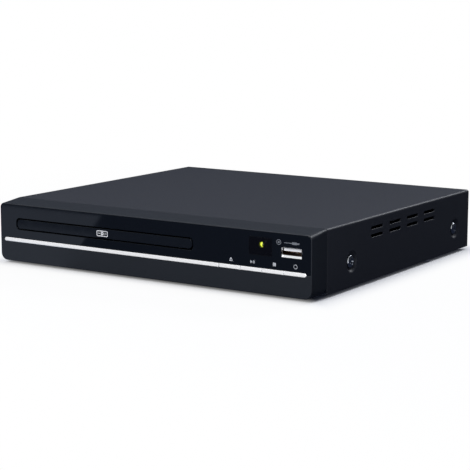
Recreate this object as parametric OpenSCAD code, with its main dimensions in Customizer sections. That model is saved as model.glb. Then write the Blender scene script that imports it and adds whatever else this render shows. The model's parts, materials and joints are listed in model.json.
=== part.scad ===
// DVD player with a motor-driven tray, as an assembly of separate pieces.
// Inside the modules y runs back from the front panel's face, z up from the table top.

/* [Case] */
// Space between the loader's lugs and the left side of the chassis
loader_gap = 2.85; // [1:0.05:15]
// Depth of the power board behind the loader
pboard_d = 21.9; // [21:0.1:45]
// Height of the front panel
front_h = 36; // [34:0.5:40]
// Rise of the cover's top above the front panel's front edge
cover_rise = 1.4; // [1:0.1:4]
// Thickness of the sheet steel
sheet_t = 0.8; // [0.6:0.1:1]
// Outer radius of the cover's long folds
fold_r = 1.5; // [1.3:0.1:2.5]
// Height of the rubber feet
foot_h = 2; // [1.5:0.5:4]
// Radius of the rubber feet
foot_r = 8; // [5:0.5:9]
// Distance of the front feet from the front
front_foot_y = 27; // [26:1:40]
// Distance of the rear feet from the front
rear_foot_y = 148; // [120:1:155]
// Distance of the front feet's centres in from the sides
foot_inset = 12; // [10:0.5:20]
// Distance of the rear feet's centres in from the sides
rear_foot_inset = 8.5; // [8:0.5:20]

/* [Front panel] */
// Depth of the moulded front
fascia_d = 17; // [15:0.5:18]
// Wall of the moulded front
fascia_wall = 1.8; // [1.4:0.1:2.2]
// Thickness of the front wall with its gloss panel
front_wall = 3.2; // [3:0.1:3.6]
// Thickness of the gloss panel
gloss_t = 1.6; // [1.2:0.1:1.8]
// Radius of the top corners
top_corner_r = 3; // [2:0.5:4]
// Radius of the bottom corners
bottom_corner_r = 4.5; // [3:0.5:6]
// Rounding of the front edges
edge_r = 0.8; // [0.8:0.1:2]

/* [Silver line and keys] */
// Height of the silver line's centre above the front panel's bottom
strip_z = 13.15; // [12:0.05:15]
// Width of the silver line
strip_h = 2.1; // [1.8:0.1:3.2]
// Distance of the silver line's ends in from the sides
strip_inset = 3.35; // [3:0.05:6]
// How far the silver line stands proud of the panel
strip_proud = 0.5; // [0.2:0.1:0.8]
// Depth of the channel that holds the silver line
strip_seat = 2; // [1.8:0.1:2.2]
// Length of one key
key_w = 14.35; // [12:0.05:16]
// Gap between neighbouring keys and round them
key_gap = 0.25; // [0.2:0.05:0.4]
// Travel of a key
key_travel = 0.5; // [0.3:0.1:0.5]

/* [Window, lamp and USB socket] */
// Distance of the window's centre in from the right end
window_in = 33; // [31:0.5:36]
// Width of the window
window_w = 15; // [12:0.5:16]
// Height of the window
window_h = 10; // [8:0.5:11]
// Height of the window's centre above the front panel's bottom
window_z = 27; // [25:0.1:28]
// Radius of the lamp
led_r = 1.5; // [1:0.1:2]
// Height of the lamp's centre above the front panel's bottom
led_z = 28; // [26:0.1:29]
// Distance of the USB socket's centre in from the right end
usb_in = 12.9; // [12:0.1:15]
// Height of the USB socket's centre above the front panel's bottom
usb_z = 25.1; // [23:0.1:27]

/* [Disc tray] */
// Height of the tray door's centre above the front panel's bottom
door_z = 23.7; // [23.2:0.1:24.2]
// How far the tray door stands over the tray at each end
door_over = 1.3; // [1:0.1:2]
// Height of the tray door
door_h = 5.5; // [5.3:0.1:6]
// Thickness of the tray door
door_t = 2.4; // [2:0.1:2.8]
// Gap round the tray door
door_gap = 0.7; // [0.5:0.1:0.9]
// Width of the tray's rim beside the disc
tray_rim = 4.5; // [4:0.1:8]
// Height of the tray
tray_h = 5.1; // [4.9:0.1:5.2]
// Length of the tray in front of the disc's seat
tray_nose = 11.1; // [10:0.1:20]
// Length of the tray that stays in the loader when it is open
tray_hold = 34.4; // [33:0.1:50]
// Diameter of the disc
disc_d = 120; // [118:1:124]
// How far the open tray brings the disc's rear edge past the front
disc_out = 1; // [0:0.5:3]

/* [Lift and pickup] */
// Drop of the turntable below the disc's level when it is lowered
turntable_drop = 6.55; // [6:0.05:6.8]
// Distance of the lift's pivot behind the pickup's window
pivot_back = 15; // [14:0.5:17]
// Height of the lift's pivot above the table
pivot_z = 15.4; // [15:0.1:15.8]
// Radius of the lift's pivot pins
pivot_r = 2; // [1.5:0.1:2.5]
// Travel of the pickup
sled_travel = 35; // [30:1:36]
// Travel of the cam slider
cam_travel = 20; // [18:1:22]
// Radius of the pins that ride in the cam slider
cam_pin_r = 1.5; // [1.2:0.1:1.7]

/* [Gears] */
// Module of the tray's gears
tray_module = 1; // [1:0.05:1]
// Module of the pickup's gears
sled_module = 0.8; // [0.8:0.05:0.8]
// Radius of the gear posts
post_r = 1.6; // [1.2:0.1:1.9]

/* [Rear sockets] */
// Reach of the phono jacks behind the cover
jack_reach = 8; // [7:0.5:9.5]
// Outer radius of a phono jack
jack_r = 4.15; // [4.1:0.05:4.2]
// Distance between phono jacks
jack_pitch = 14; // [13:0.5:14.5]
// Distance of the HDMI socket's centre in from the main board's left edge
hdmi_in = 9.35; // [9:0.05:14]
// Distance of the mains inlet's centre in from the power board's left edge
inlet_in = 26.2; // [24:0.1:30]

/* [Hidden] */
$fn = 48;

eps = 0.01;
over = 1;             // how far a cutting solid runs past what it cuts
seat = 0.1;           // gap between pieces that are fitted together
run = 0.05;           // radial running clearance of a shaft in its bore
slide_gap = 0.3;      // gap round a sliding piece

// case levels
front_z = foot_h + front_h;
top_z = front_z + cover_rise;
floor_z = foot_h + sheet_t;
ceiling_z = top_z - sheet_t;

// sheet metal
dish_depth = 1.5;
dish_r = 6.5;
dish_floor_r = 4.3;
flange_h = 20;
front_flange_h = 6;
rear_flange_h = 5;
rear_tab_h = 13;
rear_screw_z = 10;
rear_tab_w = 10;
lip_h = 9;
side_lip = 6;
screw_z = 14.5;
screw_r = 1.45;
screw_hole_r = 1.5;
head_r = 2.9;
head_h = 1.4;

// vents in the cover's sides
vent_first_y = 75.7;
vent_pitch = 23.1;
vent_len = 15;
vent_h = 1.8;
vent_columns = 4;
vent_rows = [6.8, 11.5];                            // below the cover's top

// front
part_z = foot_h + strip_z;
function key_start(i) = key_x0 + i * key_w;
function key_mid(i) = key_start(i) + key_w / 2;
clip_x = 60;
clip_w = 8;
clip_t = 1.5;
lip_reach = 3;
window_mid = foot_h + window_z;
lamp_z = foot_h + led_z;
usb_mid = foot_h + usb_z;
usb_w = 13.1;
usb_h = 5.7;
usb_len = 14;
usb_wall = 0.35;
tongue_w = 11.1;
tongue_t = 1.8;
stem_w = 5;
stem_h = 1.6;
stem_y = 5.9;
stop_flange = 0.8;
switch_w = 6;
plunger_r = 1.75;

// front board
fboard_y = 10.4;
fboard_t = 1.2;
fboard_z0 = foot_h + 3.4;
fboard_z1 = front_z - 3.5;
fpost_r = 2.7;
pilot_r = 1.35;
thread_r = 1.3;

// tray
tray_w = disc_d + 2 * tray_rim;
door_w = tray_w + 2 * door_over;
disc_y = door_t + tray_nose + disc_d / 2 + 0.5;
tray_travel = disc_y + disc_d / 2 + disc_out;
door_mid = foot_h + door_z;
tray_z0 = door_mid - tray_h / 2;
tray_z1 = door_mid + tray_h / 2;
slot_w = door_w + 2 * door_gap;
slot_h = door_h + 2 * door_gap;
slot_r = 2.6;
recess_r = disc_d / 2 + 0.5;
recess_depth = 1.7;
small_recess_r = 41;
small_recess_depth = 2.5;
hub_r = 21;
channel_h = 1.8;
sled_y = disc_y + 23;
sled_front = 8;
sled_back = 16;
window_end_y = sled_y + sled_back + sled_travel + 2;
tray_y1 = tray_travel + tray_hold;
tray_len = tray_y1 - door_t;
pivot_y = window_end_y + pivot_back;
finger_x = tray_w / 2 - 7.5;
disc_level = tray_z1 - recess_depth + 0.75;         // underside of a lifted disc

// loader frame
wall_in = tray_w / 2 + 1.5;
wall_out = wall_in + 2.6;
frame_z0 = foot_h + 3.6;
frame_top = tray_z1 + 2.75;
frame_y0 = 5.5;
frame_y1 = tray_y1 + 6.6;
frame_wall = 2.6;
rail_z = tray_z0 - slide_gap;
rail_h = 1.4;
lug_out = wall_out + 5.8;
lug_y = [30, pivot_y - 10];
lug_x = wall_out + 3;
deck_z0 = tray_z0 - 7.7;
deck_t = 1.6;
deck_z1 = deck_z0 + deck_t;
motor_y = 30;
motor_r = 10;
cross_y = motor_y + motor_r + 3;
cross_t = 2;
guide_y = [14, 52, 96, 140];
guide_len = 9;

// what the case holds sets its width and depth
block_half = 5.6;
socket_step = 18;                                   // from the HDMI socket to the first jack
mboard_w = hdmi_in + socket_step + 2 * jack_pitch + block_half + 3.6;
flange_x = (loader_gap + 2 * lug_out + 2 + mboard_w + 1 + sheet_t) / 2;    // outer face of the chassis flanges
half_w = flange_x + sheet_t + dish_depth + 0.2;
foot_spots = [[half_w - foot_inset, front_foot_y], [half_w - rear_foot_inset, rear_foot_y]];
body_w = 2 * half_w;
pboard_y0 = frame_y1 + 2;
pboard_y1 = pboard_y0 + pboard_d;
rear_flange_y = pboard_y1 + 1;
panel_y = rear_flange_y + sheet_t + seat;           // inner face of the rear panel
rear_y = panel_y + sheet_t + seat;                  // inner face of the cover's rear lip
body_d = rear_y + sheet_t;
front_y = -(body_d + jack_reach - strip_proud) / 2;
tray_x = loader_gap + lug_out - flange_x;

screw_y = [45.5, body_d - 20.5];
lip_screw_x = half_w - 32.5;
strip_x0 = -half_w + strip_inset;
strip_x1 = half_w - strip_inset;
key_x0 = strip_x1 - 4 * key_w;
window_x = half_w - window_in;
lamp_x = window_x + 0.7;
usb_x = half_w - usb_in;
fboard_x0 = key_x0 - 7.7;
fboard_x1 = half_w - 3;
fboard_posts = [[key_x0 - 4, foot_h + 6.6], [key_x0 + 10, front_z - 7], [half_w - 6.6, foot_h + 6.6]];

// gears
rack_pitch = PI * tray_module;
rack_teeth = floor(tray_travel / rack_pitch) + 8;
pinion_n = 16;
wheel_n = 24;
small_n = 10;
pinion_pr = pinion_n * tray_module / 2;
wheel_pr = wheel_n * tray_module / 2;
small_pr = small_n * tray_module / 2;
rack_line = tray_w / 2 - 4;                         // pitch line, right of the tray's centre
tray_gear_x = tray_x + rack_line - pinion_pr;
tray_gear_y = 26;
mesh_angle = 160;
pulley_gear_x = tray_gear_x + (wheel_pr + small_pr) * cos(mesh_angle);
pulley_gear_y = tray_gear_y + (wheel_pr + small_pr) * sin(mesh_angle);
wheel_z = tray_z0 - 2.9;
wheel_t = 2;
pinion_top = tray_z0 + channel_h - 0.25;
belt_z = tray_z0 - 5.5;
belt_t = 1.6;
big_pulley_r = 12.4;
motor_pulley_r = 3;
rim = 0.8;
motor_x = tray_x + 2;
motor_h = 12;
shaft_r = 1;

// lift, tilted about its pivot
lift_arm = pivot_y - disc_y;
lift_angle = asin(turntable_drop / lift_arm);
lift_out = 37;
lift_in = 25.5;
lift_z0 = pivot_z - 2;
lift_z1 = pivot_z + 1;
lift_bar = 8;
cam_y0 = cross_y + cross_t + 2;
lift_front = cam_y0 + 3;
cam_t = 2;
cam_pin_x = 20;
cam_arm = pivot_y - cam_y0 - cam_t / 2;
cam_rise = cam_arm * sin(lift_angle);
cam_pin_low = pivot_z - cam_rise;
cam_z0 = cam_pin_low - cam_pin_r - slide_gap - 1.4;
cam_z1 = pivot_z + 3.6;
bush_x = 30;
bush_y = [lift_front + 12, pivot_y - 15];
bush_r = 3.6;
bush_h = 4;
bush_neck_r = 2.4;
bush_core_r = 1.4;
plate_z = lift_z1 + 1.5;
plate_t = 1;
plate_top = plate_z + plate_t;
plate_half = bush_x + bush_r + 0.9;
plate_y0 = lift_front + 6;
wing_x = 62.5;
window_half = 20.5;

// spindle
rotor_r = 13;
rotor_z0 = plate_top + 1.3;
rotor_z1 = disc_level - 2.3;
turntable_r = 15;
cone_r = 7.4;
cone_top_r = cone_r - 0.7;
cone_gap = 0.25;        // room between the lowered cone and the tray that passes over it
cone_h = pivot_z - disc_level
    + (tray_z0 - cone_gap - pivot_z + (lift_arm - cone_top_r) * sin(lift_angle)) / cos(lift_angle);
spindle_r = 1.5;

// pickup
sled_half = 19;
sled_z0 = lift_z0 + 1.5;
sled_z1 = disc_level - 3.3;
rod_x = 23.5;
rod_r = 1.5;
rod_z = plate_top + 2;
rod_cap = 0.45;
rod_y0 = disc_y + 7;
rod_y1 = sled_y + sled_back + sled_travel + 8;
clip_len = 3.5;
sled_rack_pitch = PI * sled_module;
sled_teeth = floor(sled_travel / sled_rack_pitch) + 3;
sled_pinion_n = 14;
sled_wheel_n = 20;
sled_motor_n = 10;
sled_pinion_pr = sled_pinion_n * sled_module / 2;
sled_wheel_pr = sled_wheel_n * sled_module / 2;
sled_motor_pr = sled_motor_n * sled_module / 2;
sled_rack_x = 36;
sled_gear_x = sled_rack_x + sled_pinion_pr;
sled_gear_y = sled_y + 8;
sled_motor_x = sled_gear_x + sled_wheel_pr + sled_motor_pr;
sled_motor_r = 7.5;
sled_motor_h = 10;
rack_z0 = plate_top + 0.4;
rack_z1 = plate_top + 2.2;
lens_r = 2.8;

// clamper
bridge_z = frame_top;
bridge_t = 1;
bridge_half = 12;
bridge_boss_x = wall_out + 2;
puck_r = 14;
puck_neck_r = 9.5;
puck_hole_r = 10.5;
puck_flange_r = 13;
puck_z0 = tray_z1 + 0.75;

// boards
board_t = 1.6;
board_gap = 5;
board_z = floor_z + board_gap;
board_top = board_z + board_t;
mboard_x0 = tray_x + lug_out + 2;
mboard_x1 = mboard_x0 + mboard_w;
mboard_y0 = 62;
mboard_y1 = rear_flange_y - 0.5;
pboard_x0 = -flange_x + sheet_t + 3;
inlet_x = pboard_x0 + inlet_in;
inlet_w = 22;
bulk_cap_r = 6.4;
bulk_cap_x = inlet_x + inlet_w / 2 + 0.7 + bulk_cap_r;
core_w = 17;
transformer_x = bulk_cap_x + bulk_cap_r + 0.5 + core_w / 2;
output_cap_r = 3.8;
output_cap_x = transformer_x + core_w / 2 + 0.8 + output_cap_r;
driver_x = output_cap_x + output_cap_r + 8.85;
pboard_x1 = driver_x + 16;
standoff_r = 3;
mposts = [for (x = [mboard_x0 + 4.5, mboard_x1 - 4.5]) for (y = [mboard_y0 + 5, mboard_y1 - 24]) [x, y]];
pposts = [for (x = [pboard_x0 + 4, pboard_x1 - 4]) [x, (pboard_y0 + pboard_y1) / 2]];
hdmi_x = mboard_x0 + hdmi_in;
hdmi_w = 15;
hdmi_h = 5.6;
jack_x = hdmi_x + socket_step;
jack_z = board_top + 7;
shank_r = jack_r - 0.35;
collar_h = 0.6;                                     // height of the collar outside the rear panel
inlet_h = 13;
inlet_z = board_top + inlet_h / 2;
inlet_pin = 4.3;
rear_tab_x = [pboard_x0 + 7.2, mboard_x0 - 12.65];
cooling_x = tray_x - 7.25;

// ---- helpers

module box(x0, x1, y0, y1, z0, z1) {
    translate([x0, y0, z0]) cube([x1 - x0, y1 - y0, z1 - z0]);
}

module post(x, y, z0, z1, r) {
    translate([x, y, z0]) cylinder(r = r, h = z1 - z0);
}

module rod_y(x, z, y0, y1, r) {
    translate([x, y1, z]) rotate([90, 0, 0]) cylinder(r = r, h = y1 - y0);
}

module rod_x(y, z, x0, x1, r) {
    translate([x0, y, z]) rotate([0, 90, 0]) cylinder(r = r, h = x1 - x0);
}

// a flat outline drawn in x and z, made solid from y0 back to y1
module along_y(y0, y1) {
    translate([0, y1, 0]) rotate([90, 0, 0]) linear_extrude(y1 - y0) children();
}

module rounded(w, h, r) {
    square([w - 2 * r, h], center = true);
    square([w, h - 2 * r], center = true);
    for (x = [-1, 1]) for (y = [-1, 1])
        translate([x * (w / 2 - r), y * (h / 2 - r)]) circle(r);
}

// a slot with round ends from one point to another
module slot_shape(a, b, r) {
    dx = b[0] - a[0];
    dy = b[1] - a[1];
    translate(a) circle(r);
    translate(b) circle(r);
    translate(a) rotate(atan2(dy, dx)) translate([0, -r]) square([sqrt(dx * dx + dy * dy), 2 * r]);
}

// the same slot as one outline, for slots that run at a slant
module slanted_slot(a, b, r) {
    turn = atan2(b[1] - a[1], b[0] - a[0]);
    step = 15;
    polygon(concat(
        [for (t = [90 : step : 270]) a + r * [cos(turn + t), sin(turn + t)]],
        [for (t = [-90 : step : 90]) b + r * [cos(turn + t), sin(turn + t)]]));
}

module both_sides() {
    children();
    mirror([1, 0, 0]) children();
}

// puts a piece into the row's frame
module in_case() {
    translate([0, front_y, 0]) children();
}

// the same, with x measured from the tray's centre
module in_loader() {
    in_case() translate([tray_x, 0, 0]) children();
}

// tips a piece of the lift, drawn level, down to its lowered rest
module on_lift() {
    in_loader() translate([0, pivot_y, pivot_z]) rotate([lift_angle, 0, 0])
        translate([0, -pivot_y, -pivot_z]) children();
}

// Gear wheel: straight-flanked teeth, thin enough to leave backlash
tooth_tip = 0.8;
tooth_root = 1.15;
tip_share = 0.13;
root_share = 0.27;
function tooth_corner(k) = [-root_share, -tip_share, tip_share, root_share][k];
module gear_shape(n, m, bore) {
    tip = m * (n / 2 + tooth_tip);
    root = m * (n / 2 - tooth_root);
    difference() {
        polygon([for (i = [0 : n - 1]) for (k = [0 : 3])
            let (a = 360 / n * (i + tooth_corner(k)), r = (k == 0 || k == 3) ? root : tip)
                [r * cos(a), r * sin(a)]]);
        circle(bore);
    }
}

// Rack along y with its teeth towards -x (side = -1) or +x (side = 1) of its pitch line
module rack_shape(m, y0, count, back, side) {
    p = PI * m;
    for (i = [0 : count - 1]) translate([0, y0 + i * p])
        polygon([[-side * back, -root_share * p], [-side * tooth_root * m, -root_share * p],
            [side * tooth_tip * m, -tip_share * p], [side * tooth_tip * m, tip_share * p],
            [-side * tooth_root * m, root_share * p], [-side * back, root_share * p]]);
}

// Pan-head screw standing on z = 0, its shank down
module pan_screw(shank, r = thread_r, hr = head_r, hh = head_h) {
    difference() {
        union() {
            cylinder(r = hr, h = hh * 0.6);
            translate([0, 0, hh * 0.6 - eps]) cylinder(r1 = hr, r2 = hr * 0.72, h = hh * 0.4 + eps);
        }
        for (a = [0, 90]) rotate(a)
            translate([-hr * 0.62, -0.35, hh * 0.45]) cube([hr * 1.24, 0.7, hh]);
    }
    translate([0, 0, -shank]) cylinder(r = r, h = shank + eps);
}

// ---- case

module bottom_chassis() color("silver") in_case() difference() {
    union() {
        box(-flange_x, flange_x, fascia_d + 0.3, rear_flange_y + sheet_t, foot_h, floor_z);
        both_sides() box(flange_x - sheet_t, flange_x, fascia_d + 0.3, rear_flange_y + sheet_t,
            foot_h, foot_h + flange_h);
        box(-flange_x, flange_x, fascia_d + 0.3, fascia_d + 0.3 + sheet_t, foot_h,
            foot_h + front_flange_h);
        box(-flange_x, flange_x, rear_flange_y, rear_flange_y + sheet_t, foot_h, foot_h + rear_flange_h);
        for (x = rear_tab_x) box(x - rear_tab_w / 2, x + rear_tab_w / 2, rear_flange_y,
            rear_flange_y + sheet_t, foot_h, foot_h + rear_tab_h);
        for (s = [-1, 1]) for (y = lug_y)
            post(tray_x + s * lug_x, y, floor_z - eps, frame_z0 - seat, 2.8);
        for (p = concat(mposts, pposts)) post(p[0], p[1], floor_z - eps, board_z, standoff_r);
    }
    for (s = [-1, 1]) {
        for (y = lug_y) post(tray_x + s * lug_x, y, foot_h - over, frame_z0 + over, pilot_r);
        for (f = foot_spots) post(s * f[0], f[1], 0, floor_z + over, 2);
        for (y = screw_y) rod_x(y, foot_h + screw_z, s * flange_x - 2, s * flange_x + 2, screw_hole_r);
        box(s * clip_x - clip_w / 2 - 0.4, s * clip_x + clip_w / 2 + 0.4, fascia_d, fascia_d + 2,
            foot_h + fascia_wall + 0.4, foot_h + fascia_wall + 0.8 + clip_t);
    }
    for (p = concat(mposts, pposts)) post(p[0], p[1], foot_h - over, board_z + over, pilot_r);
    for (x = rear_tab_x) rod_y(x, foot_h + rear_screw_z, rear_flange_y - over, body_d, screw_hole_r);
    // cooling slots in the floor under the boards
    for (i = [0 : 5]) in_floor_slot(mboard_x0 + 14 + i * 7);
}

module in_floor_slot(x) {
    translate([0, 0, foot_h - over]) linear_extrude(sheet_t + 2 * over)
        slot_shape([x, mboard_y0 + 40], [x, mboard_y0 + 70], 1.2);
}

module cover_outline(grow) {
    w = half_w + grow;
    z = top_z + grow;
    r = fold_r + grow;
    translate([-w, foot_h]) square([2 * w, z - r - foot_h]);
    translate([-w + r, foot_h]) square([2 * (w - r), z - foot_h]);
    for (s = [-1, 1]) translate([s * (w - r), z - r]) circle(r);
}

module vent_slots() {
    for (i = [0 : vent_columns - 1]) for (drop = vent_rows) {
        y = vent_first_y + i * vent_pitch;
        z = top_z - drop;
        box(half_w - 2, half_w + over, y - vent_len / 2 + vent_h / 2, y + vent_len / 2 - vent_h / 2,
            z - vent_h / 2, z + vent_h / 2);
        for (e = [-1, 1]) rod_x(y + e * (vent_len - vent_h) / 2, z, half_w - 2, half_w + over,
            vent_h / 2);
    }
}

// Pressed dish round a side screw, as a ring turned about the screw's axis
module screw_dish() {
    rotate([0, 90, 0]) rotate_extrude()
        polygon([[screw_hole_r, -dish_depth - sheet_t], [dish_floor_r + 0.3, -dish_depth - sheet_t],
            [dish_r + 0.3, -sheet_t], [dish_r + 0.3, 0], [dish_r, 0],
            [dish_floor_r, -dish_depth], [screw_hole_r, -dish_depth]]);
}

module top_cover() color("dimgray") in_case() {
    difference() {
        union() {
            along_y(fascia_d + seat, body_d) difference() {
                cover_outline(0);
                translate([0, -over]) cover_outline_inner();
            }
            box(-flange_x, flange_x, rear_y, body_d, top_z - lip_h, top_z - fold_r);
            both_sides() box(half_w - side_lip, half_w - sheet_t / 2, rear_y, body_d, foot_h + 1,
                top_z - fold_r);
        }
        both_sides() {
            vent_slots();
            for (y = screw_y) rod_x(y, foot_h + screw_z, half_w - 2, half_w + over, dish_r);
            rod_y(lip_screw_x, top_z - 5, rear_y - over, body_d + over, screw_hole_r);
        }
    }
    both_sides() for (y = screw_y) translate([half_w, y, foot_h + screw_z]) screw_dish();
}

module cover_outline_inner() {
    w = half_w - sheet_t;
    r = fold_r - sheet_t;
    translate([-w, 0]) square([2 * w, ceiling_z - r + over]);
    translate([-w + r, 0]) square([2 * (w - r), ceiling_z + over]);
    for (s = [-1, 1]) translate([s * (w - r), ceiling_z - r + over]) circle(r);
}

module rear_panel() color("dimgray") in_case() difference() {
    box(-half_w + sheet_t + 0.5, half_w - sheet_t - 0.5, panel_y, panel_y + sheet_t, floor_z + 0.2,
        ceiling_z - 0.2);
    along_y(panel_y - over, panel_y + 2) {
        translate([inlet_x, inlet_z]) square([inlet_w + 0.4, inlet_h + 0.4], center = true);
        translate([hdmi_x, board_top + hdmi_h / 2 + 0.2])
            square([hdmi_w + 0.6, hdmi_h + 0.6], center = true);
        for (i = [0 : 2]) translate([jack_x + i * jack_pitch, jack_z]) circle(5.2);
        for (x = rear_tab_x) translate([x, foot_h + rear_screw_z]) circle(screw_hole_r);
        for (s = [-1, 1]) translate([s * lip_screw_x, top_z - 5]) circle(screw_hole_r);
        // cooling slots behind the power board
        for (i = [0 : 7]) slot_shape([cooling_x + i * 7, foot_h + 13], [cooling_x + i * 7, foot_h + 27], 1.3);
    }
}

module rubber_feet() color("dimgray") in_case() both_sides()
    for (f = foot_spots) translate([f[0], f[1], 0]) {
        cylinder(r1 = foot_r - 0.6, r2 = foot_r, h = foot_h);
        cylinder(r = 2 - run, h = floor_z + 0.4);
        translate([0, 0, floor_z + seat]) cylinder(r1 = 2.6, r2 = 1.6, h = 1.2);
    }

module case_screws() color("silver") in_case() {
    both_sides() for (y = screw_y)
        translate([half_w - dish_depth, y, foot_h + screw_z]) rotate([0, 90, 0]) pan_screw(4, screw_r);
    both_sides() translate([lip_screw_x, body_d, top_z - 5]) rotate([-90, 0, 0]) pan_screw(4, screw_r);
    for (x = rear_tab_x) translate([x, panel_y + sheet_t, foot_h + rear_screw_z]) rotate([-90, 0, 0])
        pan_screw(4, screw_r, head_r, body_d - panel_y - sheet_t + 0.6);
}

// ---- front

// Outer form of the front: rounded front edges, and a top that climbs back to the cover's height
module front_slice(y, inset, rise, corner) {
    r = max(corner - inset, 0.4);
    b = bottom_corner_r - inset;
    for (s = [-1, 1]) {
        rod_y(s * (half_w - inset - r), front_z + rise - inset - r, y, y + eps, r, $fn = 32);
        rod_y(s * (half_w - inset - b), foot_h + inset + b, y, y + eps, b, $fn = 32);
    }
}

module front_form() {
    hull() {
        front_slice(0, edge_r, 0, top_corner_r);
        front_slice(edge_r * 0.12, edge_r * 0.5, 0, top_corner_r);
        front_slice(edge_r * 0.5, edge_r * 0.12, 0, top_corner_r);
        front_slice(edge_r, 0, 0, top_corner_r);
        front_slice(fascia_d - eps, 0, cover_rise, fold_r);
    }
}

module tray_opening() {
    along_y(-over, front_wall + over) translate([tray_x, door_mid]) rounded(slot_w, slot_h, slot_r);
}

module front_holes() {
    tray_opening();
    along_y(-over, front_wall + over) {
        translate([usb_x, usb_mid]) square([usb_w + 2 * seat, usb_h + 2 * seat], center = true);
        translate([window_x, window_mid])
            square([window_w + 2 * seat, window_h + 2 * seat], center = true);
    }
    // channel of the silver line, its right end round
    along_y(-over, strip_seat + key_gap)
        slot_shape([strip_x0 + strip_h / 2 - key_gap, part_z], [strip_x1 - strip_h / 2 + key_gap, part_z],
            strip_h / 2 + key_gap);
}

module gloss_panel() color("black") in_case() difference() {
    intersection() {
        front_form();
        box(-half_w - over, half_w + over, -over, gloss_t, part_z + 0.15, top_z + over);
    }
    front_holes();
}

module front_fascia() color("#2b2d32") in_case() difference() {
    union() {
        difference() {
            front_form();
            box(-half_w - over, half_w + over, -over, gloss_t + seat, part_z, top_z + over);
            box(-half_w + fascia_wall, half_w - fascia_wall, front_wall, fascia_d + over,
                foot_h + fascia_wall, front_z - fascia_wall);
        }
        // lips that back the cover's front edge
        box(-half_w + 5, half_w - 5, fascia_d - 2, fascia_d + lip_reach, ceiling_z - 1.8,
            ceiling_z - 0.2);
        both_sides() box(flange_x + 0.2, half_w - sheet_t - 0.2, fascia_d - 2, fascia_d + lip_reach,
            foot_h + 6, ceiling_z - 3);
        // clips that hook behind the chassis
        for (s = [-1, 1]) {
            box(s * clip_x - clip_w / 2, s * clip_x + clip_w / 2, fascia_d - 4, fascia_d + 2.6,
                foot_h + fascia_wall + 0.6, foot_h + fascia_wall + 0.6 + clip_t);
            box(s * clip_x - clip_w / 2, s * clip_x + clip_w / 2, fascia_d + 1.4, fascia_d + 2.6,
                foot_h + fascia_wall + 1, foot_h + fascia_wall + 1.6 + clip_t);
            box(s * clip_x - clip_w / 2, s * clip_x + clip_w / 2, fascia_d - 4, fascia_d - 2,
                foot_h + 1, foot_h + fascia_wall + 0.6 + clip_t);
        }
        for (p = fboard_posts) rod_y(p[0], p[1], front_wall - 0.5, fboard_y, fpost_r);
    }
    front_holes();
    for (i = [0 : 3]) box(key_mid(i) - stem_w / 2 - 0.2, key_mid(i) + stem_w / 2 + 0.2, 0,
        front_wall + over,
        part_z - stem_h / 2 - 0.2, part_z + stem_h / 2 + 0.2);
    for (p = fboard_posts) rod_y(p[0], p[1], front_wall, fboard_y + over, pilot_r);
}

module sensor_window() color("#101018") in_case() difference() {
    along_y(0.1, front_wall) translate([window_x, window_mid])
        square([window_w, window_h], center = true);
    rod_y(lamp_x, lamp_z, -over, front_wall + over, led_r + seat);
}

module trim_strip() color("white") in_case() difference() {
    along_y(-strip_proud, strip_seat + key_gap)
        slot_shape([strip_x0 + strip_h / 2, part_z], [key_x0, part_z], strip_h / 2);
    box(key_x0 - key_gap, key_x0 + strip_h, -over, 3, part_z - strip_h, part_z + strip_h);
}

module key(i) color("white") in_case() {
    last = i == 3;
    x0 = key_start(i) + (i == 0 ? 0.05 : key_gap / 2);
    x1 = last ? strip_x1 : key_start(i + 1) - key_gap / 2;
    m = key_mid(i);
    along_y(-strip_proud, strip_seat + key_gap - key_travel - 0.15) {
        if (last) {
            translate([x0, part_z - strip_h / 2]) square([x1 - x0 - strip_h / 2, strip_h]);
            translate([x1 - strip_h / 2, part_z]) circle(strip_h / 2);
        } else translate([x0, part_z - strip_h / 2]) square([x1 - x0, strip_h]);
    }
    box(m - stem_w / 2, m + stem_w / 2, 0, stem_y, part_z - stem_h / 2, part_z + stem_h / 2);
    box(m - stem_w / 2 - 1, m + stem_w / 2 + 1, front_wall + 0.1, front_wall + 0.1 + stop_flange,
        part_z - 1.7, part_z + 1.7);
}

module eject_key() key(0);
module play_key() key(1);
module stop_key() key(2);
module power_key() key(3);

module plunger(i) color("dimgray") in_case()
    rod_y(key_mid(i), part_z, stem_y + 0.1, stem_y + 0.1 + 2.4, plunger_r);

module eject_plunger() plunger(0);
module play_plunger() plunger(1);
module stop_plunger() plunger(2);
module power_plunger() plunger(3);

module tact_switches() color("gray") in_case() for (i = [0 : 3]) difference() {
    box(key_mid(i) - switch_w / 2, key_mid(i) + switch_w / 2, stem_y + 1, fboard_y,
        part_z - switch_w / 2, part_z + switch_w / 2);
    rod_y(key_mid(i), part_z, stem_y, stem_y + 0.1 + 2.4 + key_travel + 0.2, plunger_r + seat);
}

module front_board() color("darkgreen") in_case() difference() {
    box(fboard_x0, fboard_x1, fboard_y, fboard_y + fboard_t, fboard_z0, fboard_z1);
    box(usb_x - usb_w / 2 - 0.3, usb_x + usb_w / 2 + 0.3, fboard_y - over, fboard_y + 3,
        usb_mid - usb_h / 2 - 0.3, usb_mid + usb_h / 2 + 0.3);
    for (p = fboard_posts) rod_y(p[0], p[1], fboard_y - over, fboard_y + 3, screw_hole_r);
}

module board_screws() color("silver") in_case() {
    for (p = fboard_posts) translate([p[0], fboard_y + fboard_t, p[1]]) rotate([-90, 0, 0]) pan_screw(5);
    for (p = concat(mposts, pposts)) translate([p[0], p[1], board_top]) pan_screw(5);
}

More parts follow.
